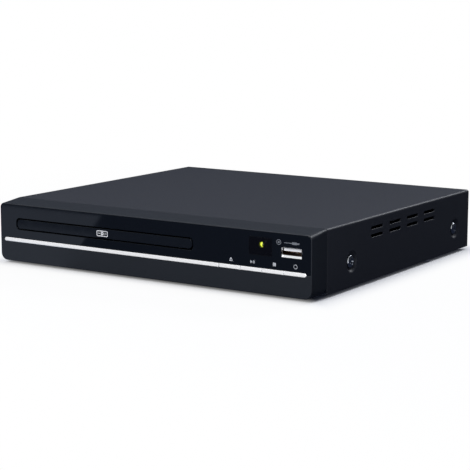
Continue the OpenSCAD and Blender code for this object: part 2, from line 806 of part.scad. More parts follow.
module standby_led() color("yellowgreen") in_case() {
    rod_y(lamp_x, lamp_z, 1.6, 6.5, led_r);
    intersection() {
        translate([lamp_x, 1.6, lamp_z]) sphere(r = led_r);
        box(lamp_x - 3, lamp_x + 3, -over, 1.7, lamp_z - 3, lamp_z + 3);
    }
    rod_y(lamp_x, lamp_z, 6.3, 7.2, led_r + 0.4);
    for (s = [-1, 1]) rod_y(lamp_x + s * 0.8, lamp_z, 7, fboard_y, 0.3);
}

module ir_receiver() color("black") in_case() {
    box(window_x - 7, window_x - 2, 5.5, 8.5, window_mid - 3.4, window_mid + 3.4);
    translate([window_x - 4.5, 5.5, window_mid]) sphere(r = 1.9);
    for (x = [-6, -4.5, -3]) box(window_x + x - 0.25, window_x + x + 0.25, 8.4, fboard_y,
        window_mid - 3, window_mid - 2.5);
}

module usb_shell() color("silver") in_case() difference() {
    box(usb_x - usb_w / 2, usb_x + usb_w / 2, 0.3, 0.3 + usb_len, usb_mid - usb_h / 2,
        usb_mid + usb_h / 2);
    box(usb_x - usb_w / 2 + usb_wall, usb_x + usb_w / 2 - usb_wall, -over, usb_len - 0.1,
        usb_mid - usb_h / 2 + usb_wall, usb_mid + usb_h / 2 - usb_wall);
}

module usb_tongue() color("white") in_case() {
    top = usb_mid + usb_h / 2 - usb_wall - 0.35;
    box(usb_x - tongue_w / 2, usb_x + tongue_w / 2, 1.2, 9, top - tongue_t, top);
    box(usb_x - usb_w / 2 + usb_wall + 0.05, usb_x + usb_w / 2 - usb_wall - 0.05, 9 - eps, usb_len - 0.2,
        usb_mid - usb_h / 2 + usb_wall + 0.05, usb_mid + usb_h / 2 - usb_wall - 0.05);
}

module usb_contacts() color("gold") in_case() {
    top = usb_mid + usb_h / 2 - usb_wall - 0.35 - tongue_t;
    for (x = [-3.5, -1, 1, 3.5]) box(usb_x + x - 0.5, usb_x + x + 0.5, 1.8, 8.9, top - 0.25, top);
}

// ---- tray

module disc_tray() color("#303238") in_case() difference() {
    translate([tray_x, 0, 0]) difference() {
        translate([0, door_t + tray_len / 2, tray_z0]) linear_extrude(tray_h)
            rounded(tray_w, tray_len, 3);
        // seats for the large and the small disc
        post(0, disc_y, tray_z1 - recess_depth, tray_z1 + over, recess_r, $fn = 96);
        post(0, disc_y, tray_z1 - small_recess_depth, tray_z1 + over, small_recess_r, $fn = 96);
        // hub hole and the pickup's window
        post(0, disc_y, tray_z0 - over, tray_z1 + over, hub_r);
        box(-hub_r, hub_r, disc_y, window_end_y, tray_z0 - over, tray_z1 + over);
        // finger hollows at the sides of the disc
        for (s = [-1, 1]) translate([s * finger_x, disc_y + 4, tray_z1 - 1.2]) cylinder(r = 11, h = 3);
        // channel for the tray gear
        box(rack_line - 2 * pinion_pr - 2.5, rack_line + tooth_root, 8, tray_y1 + over, tray_z0 - over,
            tray_z0 + channel_h);
    }
}

module tray_rack() in_case() translate([tray_x + rack_line, 0, tray_z0]) linear_extrude(channel_h + 0.3)
    rack_shape(tray_module, tray_gear_y - 4.5 * rack_pitch, rack_teeth, 2.5, -1);

module tray_body() {
    disc_tray();
    color("#303238") tray_rack();
}

module tray_door() color("#1b1d22") in_case() {
    along_y(0, door_t) translate([tray_x, door_mid]) rounded(door_w, door_h, 2.3);
}

// ---- loader

module loader_frame() color("#3a3c40") in_loader() difference() {
    union() {
        both_sides() {
            box(wall_in, wall_out, frame_y0, 22, foot_h + front_flange_h + 2, frame_top);
            box(wall_in, wall_out, 22 - eps, frame_y1, frame_z0, frame_top);
            for (y = lug_y) {
                box(wall_out - eps, lug_out, y - 4, y + 4, frame_z0, frame_z0 + 2.5);
                box(wall_out - eps, lug_out, y - 0.8 + 4.6, y + 0.8 + 4.6, frame_z0, frame_z0 + 8);
            }
            // rear rail, short front rail and the guides over the tray
            box(wall_in - 3.5, wall_in + eps, cross_y, frame_y1, rail_z - rail_h, rail_z);
            box(wall_in - 3.5, wall_in + eps, frame_y0, frame_y0 + 5, rail_z - rail_h, rail_z);
            for (y = guide_y)
                box(wall_in - 3.2, wall_in + eps, y, y + guide_len, tray_z1 + slide_gap, frame_top - 1);
            post(bridge_boss_x, disc_y, frame_z0 + 14, frame_top, 3);
        }
        box(-wall_in - eps, wall_in + eps, frame_y1 - frame_wall, frame_y1, frame_z0,
            tray_z0 - slide_gap);
        box(-wall_in - eps, wall_in + eps, cross_y, cross_y + cross_t, floor_z + 0.3, deck_z1);
        box(-wall_in - eps, wall_in + eps, frame_y0, frame_y0 + 2, foot_h + front_flange_h + 2, deck_z1);
        // deck that carries the motor and the gears
        box(-18, wall_in + eps, frame_y0 + eps, cross_y + eps, deck_z0, deck_z1);
        // ledge and hooks that guide the cam slider
        box(-52, 40, cross_y + cross_t - eps, cam_y0 + cam_t + 0.4, floor_z + 0.3, cam_z0 - 0.2);
        for (x = [-38, 14]) {
            box(x, x + 8, cross_y, cam_y0 + cam_t + 1.4, cam_z1 + 0.2, cam_z1 + 1.4);
            box(x, x + 8, cross_y, cross_y + cross_t, deck_z1 - eps, cam_z1 + 1.4);
        }
        post(tray_gear_x - tray_x, tray_gear_y, deck_z1 - eps, wheel_z - 0.2, post_r + 1.2);
        post(tray_gear_x - tray_x, tray_gear_y, deck_z1 - eps, pinion_top - 0.2, post_r);
        post(pulley_gear_x - tray_x, pulley_gear_y, deck_z1 - eps, wheel_z + wheel_t - 0.2, post_r);
    }
    // holes: lugs, motor, bridge screws and the lift's pivot bearings
    for (s = [-1, 1]) {
        for (y = lug_y) post(s * lug_x, y, frame_z0 - over, frame_z0 + 2.5 + eps, screw_hole_r);
        post(s * bridge_boss_x, disc_y, frame_top - 6, frame_top + over, pilot_r);
        rod_x(pivot_y, pivot_z, s * (wall_in + wall_out) / 2 - 3, s * (wall_in + wall_out) / 2 + 3,
            pivot_r + run);
    }
    post(motor_x - tray_x, motor_y, deck_z0 - over, deck_z1 + over, 3.6);
}

module loader_screws() color("silver") in_loader() for (s = [-1, 1]) {
    for (y = lug_y) translate([s * lug_x, y, frame_z0 + 2.5]) pan_screw(5);
    translate([s * bridge_boss_x, disc_y, bridge_z + bridge_t]) pan_screw(5);
}

module loading_motor() color("silver") in_case() translate([motor_x, motor_y, 0]) {
    post(0, 0, deck_z0 - motor_h, deck_z0, motor_r);
    post(0, 0, deck_z0 - eps, deck_z1 - 0.2, 3.4);
    post(0, 0, deck_z0 - eps, belt_z + 3, shaft_r);
}

module motor_pulley() color("white") in_case() translate([motor_x, motor_y, belt_z - 0.4]) difference() {
    union() {
        cylinder(r = motor_pulley_r, h = belt_t + 0.8);
        cylinder(r = motor_pulley_r + rim, h = 0.3);
        translate([0, 0, belt_t + 0.5]) cylinder(r = motor_pulley_r + rim, h = 0.3);
    }
    translate([0, 0, -over]) cylinder(r = shaft_r + run, h = 6);
}

module belt_outline(grow) {
    hull() {
        translate([motor_x, motor_y]) circle(motor_pulley_r + grow);
        translate([pulley_gear_x, pulley_gear_y]) circle(big_pulley_r + grow);
    }
}

module drive_belt() color("#202020") in_case() translate([0, 0, belt_z + 0.1])
    linear_extrude(belt_t - 0.2)
    difference() {
        belt_outline(0.9);
        belt_outline(0.08);
    }

module pulley_gear() color("white") in_case() translate([pulley_gear_x, pulley_gear_y, 0]) difference() {
    union() {
        post(0, 0, belt_z - 0.4, belt_z + belt_t + 0.4, big_pulley_r);
        post(0, 0, belt_z - 0.4, belt_z - 0.1, big_pulley_r + rim);
        post(0, 0, belt_z + belt_t + 0.1, belt_z + belt_t + 0.4, big_pulley_r + rim);
        translate([0, 0, belt_z + belt_t + 0.4 - eps]) rotate(mesh_angle + 180 + 180 / small_n)
            linear_extrude(wheel_z + wheel_t - belt_z - belt_t - 0.4)
                gear_shape(small_n, tray_module, post_r + run);
    }
    post(0, 0, 0, top_z, post_r + run);
    // the web between rim and hub is lighter
    for (a = [0 : 60 : 300]) rotate(a) post(8, 0, 0, top_z, 1.8);
}

module tray_gear() color("white") in_case() translate([tray_gear_x, tray_gear_y, 0]) {
    translate([0, 0, wheel_z]) rotate(mesh_angle) linear_extrude(wheel_t)
        difference() {
            gear_shape(wheel_n, tray_module, post_r + run);
            for (a = [0 : 60 : 300]) rotate(a) translate([7.4, 0]) circle(1.7);
        }
    translate([0, 0, wheel_z + wheel_t - eps]) linear_extrude(pinion_top - wheel_z - wheel_t)
        gear_shape(pinion_n, tray_module, post_r + run);
}

module cam_slider() color("white") in_loader() difference() {
    union() {
        along_y(cam_y0, cam_y0 + cam_t) translate([-48, cam_z0]) square([75, cam_z1 - cam_z0]);
        box(-48, 27, cam_y0 - 1.4, cam_y0 + eps, cam_z0, cam_z0 + 1.2);
    }
    for (x = [-cam_pin_x, cam_pin_x]) along_y(cam_y0 - 3, cam_y0 + cam_t + over)
        slanted_slot([x, cam_pin_low], [x - cam_travel, cam_pin_low + cam_rise], cam_pin_r + slide_gap + 0.02);
}

// ---- lift

module lift_frame() color("#44464c") on_lift() difference() {
    union() {
        both_sides() {
            box(lift_in, lift_out, lift_front, pivot_y + 4, lift_z0, lift_z1);
            rod_x(pivot_y, pivot_z, wall_in - 2, wall_out - 0.2, pivot_r);
            for (y = bush_y) post(bush_x, y, lift_z0, lift_z1, 4.6);
            rod_y(cam_pin_x, pivot_z, cam_y0 - 0.2, lift_front + 1, cam_pin_r);
        }
        box(-lift_out, lift_out, lift_front, lift_front + 5, lift_z0, lift_z1);
        box(-wall_in + 1, wall_in - 1, pivot_y - lift_bar / 2, pivot_y + lift_bar / 2, lift_z0,
            lift_z1 + 0.6);
    }
    both_sides() for (y = bush_y) post(bush_x, y, lift_z0 - over, lift_z1 + over, 1.1);
}

module rubber_bushes() color("black") on_lift() both_sides() for (y = bush_y) difference() {
    union() {
        post(bush_x, y, lift_z1, lift_z1 + bush_h, bush_neck_r);
        post(bush_x, y, lift_z1, plate_z - 0.05, bush_r);
        post(bush_x, y, plate_top + 0.05, lift_z1 + bush_h, bush_r);
    }
    post(bush_x, y, lift_z1 - over, lift_z1 + bush_h + over, bush_core_r);
}

module bush_screws() color("silver") on_lift() both_sides() for (y = bush_y)
    translate([bush_x, y, lift_z1 + bush_h]) pan_screw(bush_h + 2.5, 1.05, 2.6, 1.1);

module traverse_plate() color("silver") on_lift() difference() {
    union() {
        box(-plate_half, plate_half, plate_y0, rod_y1 + 2, plate_z, plate_top);
        box(plate_half - eps, wing_x, sled_gear_y - 10, sled_gear_y + 10, plate_z, plate_top);
        both_sides() for (y = [rod_y0, rod_y1 - clip_len])
            box(rod_x - 2.6, rod_x + 2.4, y - 1, y + clip_len + 1, plate_top - eps,
                rod_z + rod_r + rod_cap);
        post(sled_gear_x, sled_gear_y, plate_top - eps, plate_top + 3.9, post_r - 0.4);
    }
    box(-window_half, window_half, disc_y + 14.5, rod_y1 - clip_len - 2, plate_z - over,
        plate_top + over);
    both_sides() {
        for (y = bush_y) post(bush_x, y, plate_z - over, plate_top + over, bush_neck_r + 0.05);
        rod_y(rod_x, rod_z, rod_y0 - eps, rod_y1 + eps, rod_r + run);
    }
    post(sled_motor_x, sled_gear_y, plate_z - over, plate_top + over, 2.2);
}

module guide_rods() color("silver") on_lift() both_sides()
    rod_y(rod_x, rod_z, rod_y0 + 0.1, rod_y1 - 0.1, rod_r);

module spindle_motor() color("dimgray") on_lift() translate([0, disc_y, 0]) difference() {
    union() {
        translate([0, 0, plate_top]) linear_extrude(0.8) rounded(26, 26, 2);
        post(0, 0, plate_top, rotor_z1 - 2, 4);
    }
    post(0, 0, plate_top - over, rotor_z1 + over, spindle_r + run);
}

module spindle_rotor() color("silver") on_lift() translate([0, disc_y, 0]) {
    difference() {
        post(0, 0, rotor_z0, rotor_z1, rotor_r);
        post(0, 0, rotor_z0 - over, rotor_z1 - 1, rotor_r - 1);
    }
    post(0, 0, plate_top + 0.2, rotor_z1 - eps, spindle_r);
}

module turntable() color("#26282c") on_lift() translate([0, disc_y, 0]) {
    post(0, 0, rotor_z1, disc_level, turntable_r);
    translate([0, 0, disc_level - eps]) cylinder(r1 = cone_r, r2 = cone_top_r, h = cone_h);
    for (a = [0 : 120 : 240]) rotate(a + 30)
        translate([cone_r - 1.2, -1, disc_level]) cube([1.4, 2, 1.1]);
}

module pickup_sled() color("#3c3f46") on_lift() difference() {
    union() {
        box(-sled_half, sled_half, sled_y - sled_front, sled_y + sled_back, sled_z0, sled_z1);
        both_sides() box(sled_half - eps, rod_x + 3, sled_y - sled_front + 1, sled_y + sled_back - 1,
            plate_top + 0.25, rod_z + rod_r + rod_cap);
        for (y = [sled_y + 1, sled_y + 8])
            box(rod_x + 3 - eps, sled_rack_x - 1.5, y, y + 3, rack_z0, rack_z1);
        box(sled_rack_x - 2.8, sled_rack_x - tooth_root * sled_module, sled_gear_y - sled_travel - 2.5,
            sled_gear_y + 4.5, rack_z0, rack_z1);
        translate([sled_rack_x, 0, rack_z0]) linear_extrude(rack_z1 - rack_z0)
            rack_shape(sled_module, sled_gear_y - (sled_teeth - 1.5) * sled_rack_pitch, sled_teeth,
                1.6, 1);
    }
    both_sides() rod_y(rod_x, rod_z, sled_y - sled_front, sled_y + sled_back, rod_r + run);
    post(0, sled_y, sled_z1 - 1.9, sled_z1 + over, lens_r + 0.4);
    // hollows of the laser and the focus coils
    box(-15, -6, sled_y + 5, sled_y + 13, sled_z1 - 3, sled_z1 + over);
    box(6, 15, sled_y + 5, sled_y + 13, sled_z1 - 3, sled_z1 + over);
}

module objective_lens() color("lightblue") on_lift() translate([0, sled_y, 0]) {
    post(0, 0, sled_z1 - 1.5, sled_z1 + 1, lens_r);
    intersection() {
        translate([0, 0, sled_z1 - 2]) sphere(r = 3.8);
        post(0, 0, sled_z1 + 0.9, sled_z1 + 3, 2.2);
    }
}

module sled_motor() color("silver") on_lift() translate([sled_motor_x, sled_gear_y, 0]) {
    post(0, 0, plate_z - sled_motor_h, plate_z, sled_motor_r);
    post(0, 0, plate_z - eps, plate_top - 0.1, 2);
    post(0, 0, plate_z - eps, plate_top + 3.7, shaft_r * 0.8);
}

module sled_pinion() color("white") on_lift() translate([sled_motor_x, sled_gear_y, plate_top + 2.2])
    rotate(180 + 180 / sled_motor_n) linear_extrude(1.8)
        gear_shape(sled_motor_n, sled_module, shaft_r * 0.8 + run);

module sled_gear() color("white") on_lift() translate([sled_gear_x, sled_gear_y, 0]) {
    translate([0, 0, plate_top + 0.3]) rotate(180) linear_extrude(2.3)
        gear_shape(sled_pinion_n, sled_module, post_r - 0.4 + run);
    translate([0, 0, plate_top + 2.6 - eps]) linear_extrude(1.1)
        gear_shape(sled_wheel_n, sled_module, post_r - 0.4 + run);
}

// ---- clamper

module clamper_bridge() color("silver") in_loader() difference() {
    box(-bridge_boss_x - 3, bridge_boss_x + 3, disc_y - bridge_half, disc_y + bridge_half, bridge_z,
        bridge_z + bridge_t);
    post(0, disc_y, bridge_z - over, bridge_z + bridge_t + over, puck_hole_r);
    for (s = [-1, 1]) post(s * bridge_boss_x, disc_y, bridge_z - over, bridge_z + bridge_t + over,
        screw_hole_r);
    // light stiffening slots
    for (s = [-1, 1]) for (y = [-7, 7]) translate([0, 0, bridge_z - over])
        linear_extrude(bridge_t + 2 * over)
        slot_shape([s * 22, disc_y + y], [s * 56, disc_y + y], 1.2);
}

module clamper_puck() color("#d8d8d4") in_loader() translate([0, disc_y, 0]) difference() {
    union() {
        post(0, 0, puck_z0, bridge_z - 0.3, puck_r);
        post(0, 0, puck_z0, bridge_z + bridge_t + 1.2, puck_neck_r);
        post(0, 0, bridge_z + bridge_t + 0.2, bridge_z + bridge_t + 1.4, puck_flange_r);
    }
    post(0, 0, puck_z0 - over, puck_z0 + 1.5, cone_r + 1.2);
}

// ---- boards

module main_board() color("darkgreen") in_case() difference() {
    box(mboard_x0, mboard_x1, mboard_y0, mboard_y1, board_z, board_top);
    for (p = mposts) post(p[0], p[1], board_z - over, board_top + over, screw_hole_r);
}

module main_chips() color("#18181c") in_case() {
    for (c = [[18, 60, 22, 1.6], [44, 56, 11, 1.2], [44, 74, 8, 1.2], [20, 92, 7, 1.2], [40, 96, 10,
        1.4]])
        translate([mboard_x0 + c[0], mboard_y0 + c[1] - 30, board_top]) linear_extrude(c[3])
            rounded(c[2], c[2], 0.4);
    // driver chip on the power board
    translate([driver_x, (pboard_y0 + pboard_y1) / 2, board_top]) linear_extrude(3.4)
        rounded(9, 6.5, 0.4);
}

module capacitor(x, y, r, h) {
    post(x, y, board_top, board_top + h, r);
}

module capacitors() color("#20306a") in_case() {
    for (c = [[12, 12, 4, 11], [24, 12, 4, 11], [36, 10, 3, 7], [50, 14, 3, 7], [52, 100, 3, 7], [54,
        44, 2.5, 6]])
        capacitor(mboard_x0 + c[0], mboard_y0 + c[1], c[2], c[3]);
    capacitor(bulk_cap_x, (pboard_y0 + pboard_y1) / 2, bulk_cap_r, 20);
    for (y = [pboard_d / 2 - 4.95, pboard_d / 2 + 4.55]) capacitor(output_cap_x, pboard_y0 + y, output_cap_r, 12);
}

module hdmi_socket() color("silver") in_case() difference() {
    z0 = board_top;
    box(hdmi_x - hdmi_w / 2, hdmi_x + hdmi_w / 2, panel_y - 11, panel_y + sheet_t + 0.2, z0, z0 + hdmi_h);
    difference() {
        box(hdmi_x - hdmi_w / 2 + 0.5, hdmi_x + hdmi_w / 2 - 0.5, panel_y - 9, body_d, z0 + 0.5,
            z0 + hdmi_h - 0.5);
        box(hdmi_x - 5.6, hdmi_x + 5.6, panel_y - 10, panel_y - 0.6, z0 + 2.2, z0 + 3.4);
    }
}

module av_block() color("#222226") in_case() difference() {
    union() {
        box(jack_x - block_half, jack_x + 2 * jack_pitch + block_half, panel_y - 12, panel_y - 0.2,
            board_top, jack_z + 6);
        for (i = [0 : 2]) rod_y(jack_x + i * jack_pitch, jack_z, panel_y - 1, panel_y + sheet_t + collar_h, 5);
    }
    for (i = [0 : 2]) rod_y(jack_x + i * jack_pitch, jack_z, panel_y - 8, body_d + 3, shank_r + run);
}

module av_shells() color("silver") in_case() for (i = [0 : 2]) difference() {
    union() {
        rod_y(jack_x + i * jack_pitch, jack_z, panel_y - 6, body_d + 1, shank_r);
        rod_y(jack_x + i * jack_pitch, jack_z, panel_y + sheet_t + collar_h + seat, body_d + jack_reach,
            jack_r);
    }
    rod_y(jack_x + i * jack_pitch, jack_z, panel_y + sheet_t + 1, body_d + jack_reach + over, 1.6);
    difference() {
        rod_y(jack_x + i * jack_pitch, jack_z, body_d + 1, body_d + jack_reach + over, jack_r - 0.5);
        rod_y(jack_x + i * jack_pitch, jack_z, body_d, body_d + jack_reach - 0.6, 2.4);
    }
}

module power_board() color("#8a6a30") in_case() difference() {
    box(pboard_x0, pboard_x1, pboard_y0, pboard_y1, board_z, board_top);
    for (p = pposts) post(p[0], p[1], board_z - over, board_top + over, screw_hole_r);
}

module power_transformer() color("#d8c040") in_case()
    translate([transformer_x, (pboard_y0 + pboard_y1) / 2, board_top]) {
    linear_extrude(2) rounded(core_w, 16, 1);
    translate([0, 0, 2 - eps]) linear_extrude(9) rounded(15.5, 10.5, 2);
    translate([0, 0, 11 - 2 * eps]) linear_extrude(2) rounded(core_w, 16, 1);
    for (s = [-1, 1]) translate([s * 7.6, 0, 2 - eps]) linear_extrude(9) square([1.8, 6], center = true);
}

module mains_inlet() color("#1c1c20") in_case() {
    difference() {
        box(inlet_x - inlet_w / 2, inlet_x + inlet_w / 2, panel_y - 15, panel_y + sheet_t + 0.4,
            inlet_z - inlet_h / 2, inlet_z + inlet_h / 2);
        along_y(panel_y - 9, body_d)
            slot_shape([inlet_x - inlet_pin, inlet_z], [inlet_x + inlet_pin, inlet_z], 4.4);
    }
    for (s = [-1, 1]) rod_y(inlet_x + s * inlet_pin, inlet_z, panel_y - 9.5, panel_y - 0.6, 1.2);
}

// Flat lead from the front board back to the main board, as straight runs joined face to face
module front_ribbon() color("white") in_case() {
    x0 = mboard_x0 + 22;
    w = 14;
    z1 = fboard_z0 + 8;
    box(x0, x0 + w, fboard_y + fboard_t, fboard_y + fboard_t + 4, z1 - 2, z1 + 2);
    box(x0 + 0.5, x0 + w - 0.5, fboard_y + fboard_t + 4 - eps, mboard_y0 + 3, z1 - 0.15, z1 + 0.15);
    box(x0 + 0.5, x0 + w - 0.5, mboard_y0 + 2.7, mboard_y0 + 3, board_top + 2.5, z1 + 0.15);
    box(x0, x0 + w, mboard_y0 + 1, mboard_y0 + 5, board_top, board_top + 2.6);
}

bottom_chassis();
rear_panel();
top_cover();
front_fascia();
gloss_panel();
sensor_window();
trim_strip();
eject_key();
play_key();
stop_key();
power_key();
eject_plunger();
play_plunger();
stop_plunger();
power_plunger();
tact_switches();
front_board();
board_screws();
standby_led();
ir_receiver();
usb_shell();
usb_tongue();
usb_contacts();
rubber_feet();
case_screws();
loader_frame();
loader_screws();
tray_body();  // disc_tray
tray_door();
loading_motor();
motor_pulley();
drive_belt();
pulley_gear();
tray_gear();
cam_slider();
lift_frame();
rubber_bushes();
bush_screws();
traverse_plate();
guide_rods();
spindle_motor();
spindle_rotor();
turntable();
pickup_sled();
objective_lens();
sled_motor();
sled_pinion();
sled_gear();
clamper_bridge();
clamper_puck();
main_board();
main_chips();
capacitors();
hdmi_socket();
av_block();
av_shells();
power_board();
power_transformer();
mains_inlet();
front_ribbon();
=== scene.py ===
# %% [markdown]
# # A DVD player with a motor-driven tray
# The solids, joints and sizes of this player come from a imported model, the frame.
# Blender adds what plain solids lack: moulded and pressed edges, finishes, printed marks, light.
# Everything is measured in the frame's own metres, so no piece has to be fitted by eye.

# %% Load the frame
import json
import math

import bmesh
import bpy
from mathutils import Matrix, Vector


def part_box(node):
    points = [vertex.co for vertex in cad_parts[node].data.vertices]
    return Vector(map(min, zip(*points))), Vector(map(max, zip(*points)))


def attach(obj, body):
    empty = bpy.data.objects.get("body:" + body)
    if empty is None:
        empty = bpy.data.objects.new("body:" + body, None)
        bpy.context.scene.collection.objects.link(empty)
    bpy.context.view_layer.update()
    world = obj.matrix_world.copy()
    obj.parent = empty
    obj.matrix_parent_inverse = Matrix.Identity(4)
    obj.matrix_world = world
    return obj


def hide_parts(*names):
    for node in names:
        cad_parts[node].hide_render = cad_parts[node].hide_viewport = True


MM = 0.001
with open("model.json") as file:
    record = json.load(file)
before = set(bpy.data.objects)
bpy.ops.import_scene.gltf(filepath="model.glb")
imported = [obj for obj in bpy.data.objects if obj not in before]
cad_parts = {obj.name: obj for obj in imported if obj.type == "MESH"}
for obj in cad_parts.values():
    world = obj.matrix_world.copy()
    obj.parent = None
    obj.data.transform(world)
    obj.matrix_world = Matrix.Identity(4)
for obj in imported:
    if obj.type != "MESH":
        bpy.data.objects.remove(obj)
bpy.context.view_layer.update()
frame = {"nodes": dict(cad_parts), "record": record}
scene = bpy.context.scene
slot_of = {part["node"]: part["material_slot"] for part in frame["record"]["subparts"]}
body_of = {
    node: body
    for body, nodes in frame["record"]["behaviour"]["bodies"].items()
    for node in nodes
}

# %% [markdown]
# ## Measuring from the front panel
# A maker of such a front measures everything from its face: x across, y back, z up from the table.
# The pieces below are drawn that way in millimetres, and one matrix puts them into the frame.
# They could be drawn in metres at once, but millimetres are easier to read and to check.

# %% Shop coordinates
face_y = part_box("tray_door")[0].y
to_frame = Matrix.Translation((0, face_y, 0)) @ Matrix.Scale(MM, 4)


def span(node):
    """Lowest and highest corner of a solid, in millimetres from the front panel's face."""
    return [to_frame.inverted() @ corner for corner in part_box(node)]


shell_low, shell_high = span("front_fascia")
half_w, cover_top = shell_high.x, shell_high.z
print(f"front {2 * half_w:.1f} mm wide, cover {cover_top:.1f} mm above the table")

# %% [markdown]
# ## The camera
# The player is seen from a little above its right front corner with a long lens,
# so the edges hardly converge. The camera could be turned by three angles, but a target
# point keeps the aim readable.

# %% Camera
CAMERA_AT = (0.5126, -0.7932, 0.1745)
CAMERA_TARGET = (-0.0028, -0.0055, 0.0133)
FOCAL_LENGTH, FILM_WIDTH = 113.9, 36


def aim(thing, place, target):
    """Put a camera or lamp at a place and turn it to a target."""
    thing.location = place
    thing.rotation_euler = (
        (Vector(target) - Vector(place)).to_track_quat("-Z", "Y").to_euler()
    )
    scene.collection.objects.link(thing)


lens = bpy.data.cameras.new("product_camera")
lens.lens = FOCAL_LENGTH
lens.sensor_width = FILM_WIDTH
camera = bpy.data.objects.new("product_camera", lens)
aim(camera, CAMERA_AT, CAMERA_TARGET)
scene.camera = camera
scene.view_settings.view_transform = "Standard"
print("camera", [round(c, 3) for c in camera.location])

# %% [markdown]
# ## Colours and nodes
# Paint charts give colours as sRGB hex values, but a shader works with linear light,
# so one function converts them. A second one adds a node, sets it and joins its inputs.
# Nodes could be added line by line, but this way one line reads as one node.


# %% Two helpers for every material
def linear(hex_colour):
    """Linear RGBA of an sRGB colour such as "#3b3e44"."""
    channels = [int(hex_colour[i : i + 2], 16) / 255 for i in (1, 3, 5)]
    return [
        c / 12.92 if c <= 0.04045 else ((c + 0.055) / 1.055) ** 2.4 for c in channels
    ] + [1]


def add(tree, kind, inputs=None, **settings):
    """Add a shader node: settings are its properties, inputs are values or sockets."""
    node = tree.nodes.new("ShaderNode" + kind)
    for name, value in settings.items():
        setattr(node, name, value)
    for name, value in (inputs or {}).items():
        if isinstance(value, bpy.types.NodeSocket):
            tree.links.new(value, node.inputs[name])
        else:
            node.inputs[name].default_value = value
    return node


print("mid grey in linear light:", round(linear("#808080")[0], 3))

# %% [markdown]
# ## Table and background
# The player stands on a white table that runs into a white background. For the camera and
# in reflections the table is white paper, which turns into plain white away from the
# player, so no horizon shows. A plane of one white could do, but it would either grey
# towards the horizon or lose the shadow. So the glow starts just inside the player's
# outline and is nearly full two centimetres past it, which keeps a soft contact shadow.
# Light that bounces off it on to the player comes from a greyer table, as a real studio
# table reflects less than paper white.

# %% Table
TABLE_SIZE = 6
# half the size of the shaded patch, and where the glow round it starts and ends
SHADED = (0.118, 0.103, 0)
RISE_FROM, RISE_TO, RISE = -0.011, 0.014, 0.9
FAR_WHITE = 0.3


def ray_sees_backdrop(tree):
    """1 for rays from the camera, in mirrors and through glass, 0 for light on the object."""
    path = add(tree, "LightPath").outputs
    seen = path["Is Camera Ray"]
    for ray in ("Is Glossy Ray", "Is Transmission Ray"):
        seen = add(tree, "Math", {0: seen, 1: path[ray]}, operation="MAXIMUM").outputs[0]
    return seen


paper = bpy.data.materials.new("white_table")
paper.use_nodes = True
tree = paper.node_tree
tree.nodes.clear()
bounce = add(tree, "BsdfDiffuse", {"Color": linear("#86878c")}).outputs[0]
sheet = add(tree, "BsdfDiffuse", {"Color": linear("#f6f6f7")}).outputs[0]
white = add(tree, "Emission", {"Color": linear("#ffffff"), "Strength": 1}).outputs[0]
place = add(tree, "TexCoord").outputs["Object"]
past = add(tree, "VectorMath", {0: place}, operation="ABSOLUTE").outputs[0]
past = add(tree, "VectorMath", {0: past, 1: SHADED}, operation="SUBTRACT").outputs[0]
past = add(tree, "SeparateXYZ", {0: past}).outputs
past = add(tree, "Math", {0: past["X"], 1: past["Y"]}, operation="MAXIMUM").outputs[0]
near, far = [
    add(
        tree,
        "MapRange",
        {"Value": past, "From Min": start, "From Max": end, "To Max": amount},
        interpolation_type="SMOOTHSTEP",
    ).outputs[0]
    for start, end, amount in ((RISE_FROM, RISE_TO, RISE), (0, FAR_WHITE, 1 - RISE))
]
fade = add(tree, "Math", {0: near, 1: far}, operation="ADD").outputs[0]
shown = add(tree, "MixShader", {0: fade, 1: sheet, 2: white}).outputs[0]
both = add(tree, "MixShader", {0: ray_sees_backdrop(tree), 1: bounce, 2: shown})
add(tree, "OutputMaterial", {"Surface": both.outputs[0]})

bpy.ops.mesh.primitive_grid_add(x_subdivisions=4, y_subdivisions=4, size=TABLE_SIZE)
table = bpy.context.object
table.name = "table_top"
table.data.materials.append(paper)
print("table", TABLE_SIZE, "m square")

# %% [markdown]
# ## Room
# A studio's walls send a weak bluish light into every corner. The world gives that light,
# and shows itself as plain white wherever the camera or a reflection looks past the table.
# Real walls could be built, but they would stand in the lamps' way.

# %% World
ROOM_FILL = 0.16
world = bpy.data.worlds.new("studio")
scene.world = world
world.use_nodes = True
tree = world.node_tree
tree.nodes.clear()
room = {"Color": linear("#c3d3fb"), "Strength": ROOM_FILL}
fill = add(tree, "Background", room).outputs[0]
white = add(tree, "Background", {"Color": linear("#ffffff"), "Strength": 1}).outputs[0]
both = add(tree, "MixShader", {0: ray_sees_backdrop(tree), 1: fill, 2: white})
add(tree, "OutputWorld", {"Surface": both.outputs[0]})
print("room light", ROOM_FILL)

# %% [markdown]
# ## Lamps
# Two soft boxes light the player, a large one above and one in front. A small one behind
# draws a bright line along the cover's fold. The right side gets only the room's fill,
# which is why it reads darker than the front.
# Bare points could light it too, but only lamps with a size give soft shadows.


# %% Soft boxes
def soft_box(name, place, target, size, watts, colour):
    """A round soft box, size metres across, aimed at a target."""
    lamp = bpy.data.lights.new(name, "AREA")
    lamp.shape = "DISK"
    lamp.size = size
    lamp.energy = watts
    lamp.color = linear(colour)[:3]
    aim(bpy.data.objects.new(name, lamp), place, target)


MIDDLE = (0, 0, 0.02)
soft_box("key_box", (0.1, -1.2, 0.8), MIDDLE, 0.7, 13, "#ffffff")
soft_box("top_box", (-0.1, 0.2, 1.25), MIDDLE, 1.0, 7.5, "#f6f9ff")
soft_box("rim_box", (0.33, 1.0, 0.72), MIDDLE, 0.4, 5, "#f6f9ff")

